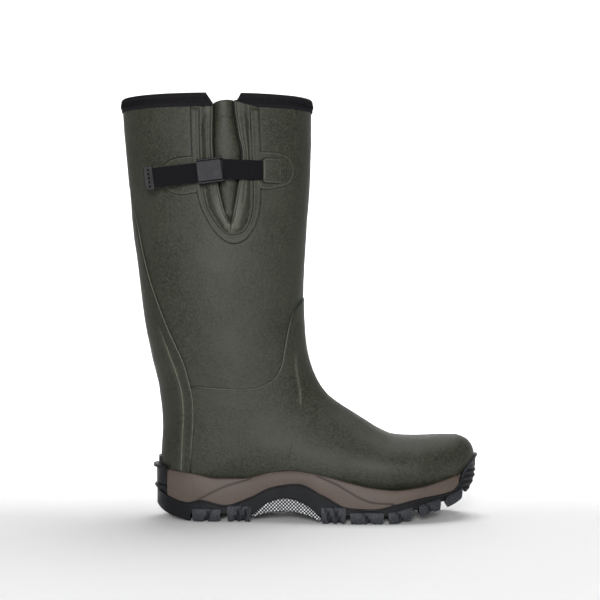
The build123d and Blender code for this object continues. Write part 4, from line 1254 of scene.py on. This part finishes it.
WOVEN_LOOKS = {  # name, dark colour, light colour, scale and direction of the ribs, roughness
    "lining": ("neoprene_knit", (0.008, 0.008, 0.009), (0.02, 0.02, 0.022), 180.0, "Z", 0.9),
    "binding": ("binding_knit", (0.001, 0.001, 0.0012), (0.017, 0.0155, 0.0185), 330.0, "Z", 0.88),
    "thread": ("black_thread", (0.005, 0.005, 0.006), (0.024, 0.022, 0.026), 500.0, "X", 0.7),
    "webbing": ("webbing_black", (0.002, 0.002, 0.0025), (0.008, 0.0075, 0.0095), 420.0, "Z", 0.82),
    "footbed": ("footbed_felt", (0.018, 0.018, 0.019), (0.045, 0.045, 0.048), 140.0, "X", 0.95),
}
PLASTIC_LOOKS = {  # name, dark colour, light colour, roughness, depth of the grain in metres
    "buckle_black": ("plastic_black", (0.003, 0.003, 0.004), (0.01, 0.01, 0.012), 0.45, 0.00012),
    "buckle_grey": ("plastic_grey", (0.016, 0.016, 0.018), (0.036, 0.035, 0.039), 0.5, 0.0003),
}


def make_looks():
    looks = {
        "rubber": rubber_look(),
        "midsole": midsole_look(),
        "outsole": outsole_look(),
        "check_plate": check_look(),
        "steel": steel_look(),
        "board": board_look(),
    }
    looks.update({key: woven_look(*values) for key, values in WOVEN_LOOKS.items()})
    looks.update({key: plastic_look(*values) for key, values in PLASTIC_LOOKS.items()})
    return looks


CAD_LOOKS = {
    "toe_puff": "board",
    "heel_counter": "board",
    "insole_board": "board",
    "steel_shank": "steel",
    "buckle_frame": "buckle_black",
    "buckle_lever": "buckle_grey",
    "strap_tip": "buckle_black",
    "heel_kick_plate": "outsole",
}


def dress_cad_nodes(looks):
    for name, look in CAD_LOOKS.items():
        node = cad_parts[name]
        node.data.materials.clear()
        node.data.materials.append(looks[look])


# ---------------------------------------------------------------- studio
LIGHTS = [  # name, place, target, size in metres, power in watts
    ("key_light", (-0.15, -2.4, 0.7), (0.0, 0.0, 0.15), 0.7, 46.0),
    ("fill_light", (1.3, -2.1, 0.6), (0.0, 0.0, 0.2), 1.0, 4.0),
    ("top_light", (0.3, 0.5, 2.4), (0.1, 0.2, 0.1), 1.6, 29.0),
    ("backdrop_light", (0.0, 0.9, 1.8), (0.0, 2.9, 0.8), 2.4, 75.0),
]
SKY_STRENGTH = 0.2
FLOOR_GAP = 0.0004  # keeps the floor just under the tread
CAMERA_PLACE = (0.0016, -1.3451, 0.2153)
CAMERA_LENS = 81.0
CAMERA_SENSOR = 36.0


def make_backdrop():
    """Pale floor that curves up behind the boot."""
    depth, radius, wide = 2.2, 0.9, 4.0
    outline = [(-wide, 0.0), (depth, 0.0)]
    for turn in np.linspace(0.1, math.pi / 2, 14):
        outline.append((depth + radius * math.sin(turn), radius - radius * math.cos(turn)))
    outline.append((depth + radius, wide))
    points = [(x, y, z - FLOOR_GAP) for x in (-wide, wide) for y, z in outline]
    count = len(outline)
    faces = [(i, i + count, i + count + 1, i + 1) for i in range(count - 1)]
    mesh = bpy.data.meshes.new("floor")
    mesh.from_pydata(points, [], faces)
    mesh.polygons.foreach_set("use_smooth", [True] * len(mesh.polygons))
    floor = bpy.data.objects.new("floor", mesh)
    bpy.context.scene.collection.objects.link(floor)
    look = Look("pale_floor", 0.9)
    faint = look.noise(3.0, 2.0)
    mesh.materials.append(look.finish(look.mix(faint, (0.9, 0.9, 0.9), (0.93, 0.93, 0.93))))


def make_studio():
    """Backdrop, soft lights, a pale sky, and the camera."""
    make_backdrop()
    for light in LIGHTS:
        add_light(*light)

    world = bpy.data.worlds.new("studio")
    world.use_nodes = True
    world.node_tree.nodes["Background"].inputs["Color"].default_value = (1.0, 1.0, 1.0, 1.0)
    world.node_tree.nodes["Background"].inputs["Strength"].default_value = SKY_STRENGTH
    bpy.context.scene.world = world
    bpy.context.scene.view_settings.view_transform = "Standard"

    camera = bpy.data.objects.new("camera", bpy.data.cameras.new("camera"))
    bpy.context.scene.collection.objects.link(camera)
    camera.data.lens = CAMERA_LENS
    camera.data.sensor_width = CAMERA_SENSOR
    camera.location = CAMERA_PLACE
    camera.rotation_euler = (math.radians(90), 0.0, 0.0)
    bpy.context.scene.camera = camera


def add_light(name, place, target, size, power):
    light = bpy.data.lights.new(name, "AREA")
    light.shape = "DISK"
    light.size = size
    light.energy = power
    made = bpy.data.objects.new(name, light)
    made.location = place
    made.rotation_euler = (Vector(target) - Vector(place)).to_track_quat("-Z", "Y").to_euler()
    bpy.context.scene.collection.objects.link(made)


# ---------------------------------------------------------------- build
def main():
    looks = make_looks()
    make_upper(looks)
    make_lining(looks)
    make_gusset(looks)
    make_gusset_frame(looks)
    make_patches(looks)
    make_binding(looks)
    make_straps(looks)
    make_midsole(looks)
    make_outsole(looks)
    make_lugs(looks)
    make_arch_plate(looks)
    make_footbed(looks)
    dress_cad_nodes(looks)
    make_studio()


main()
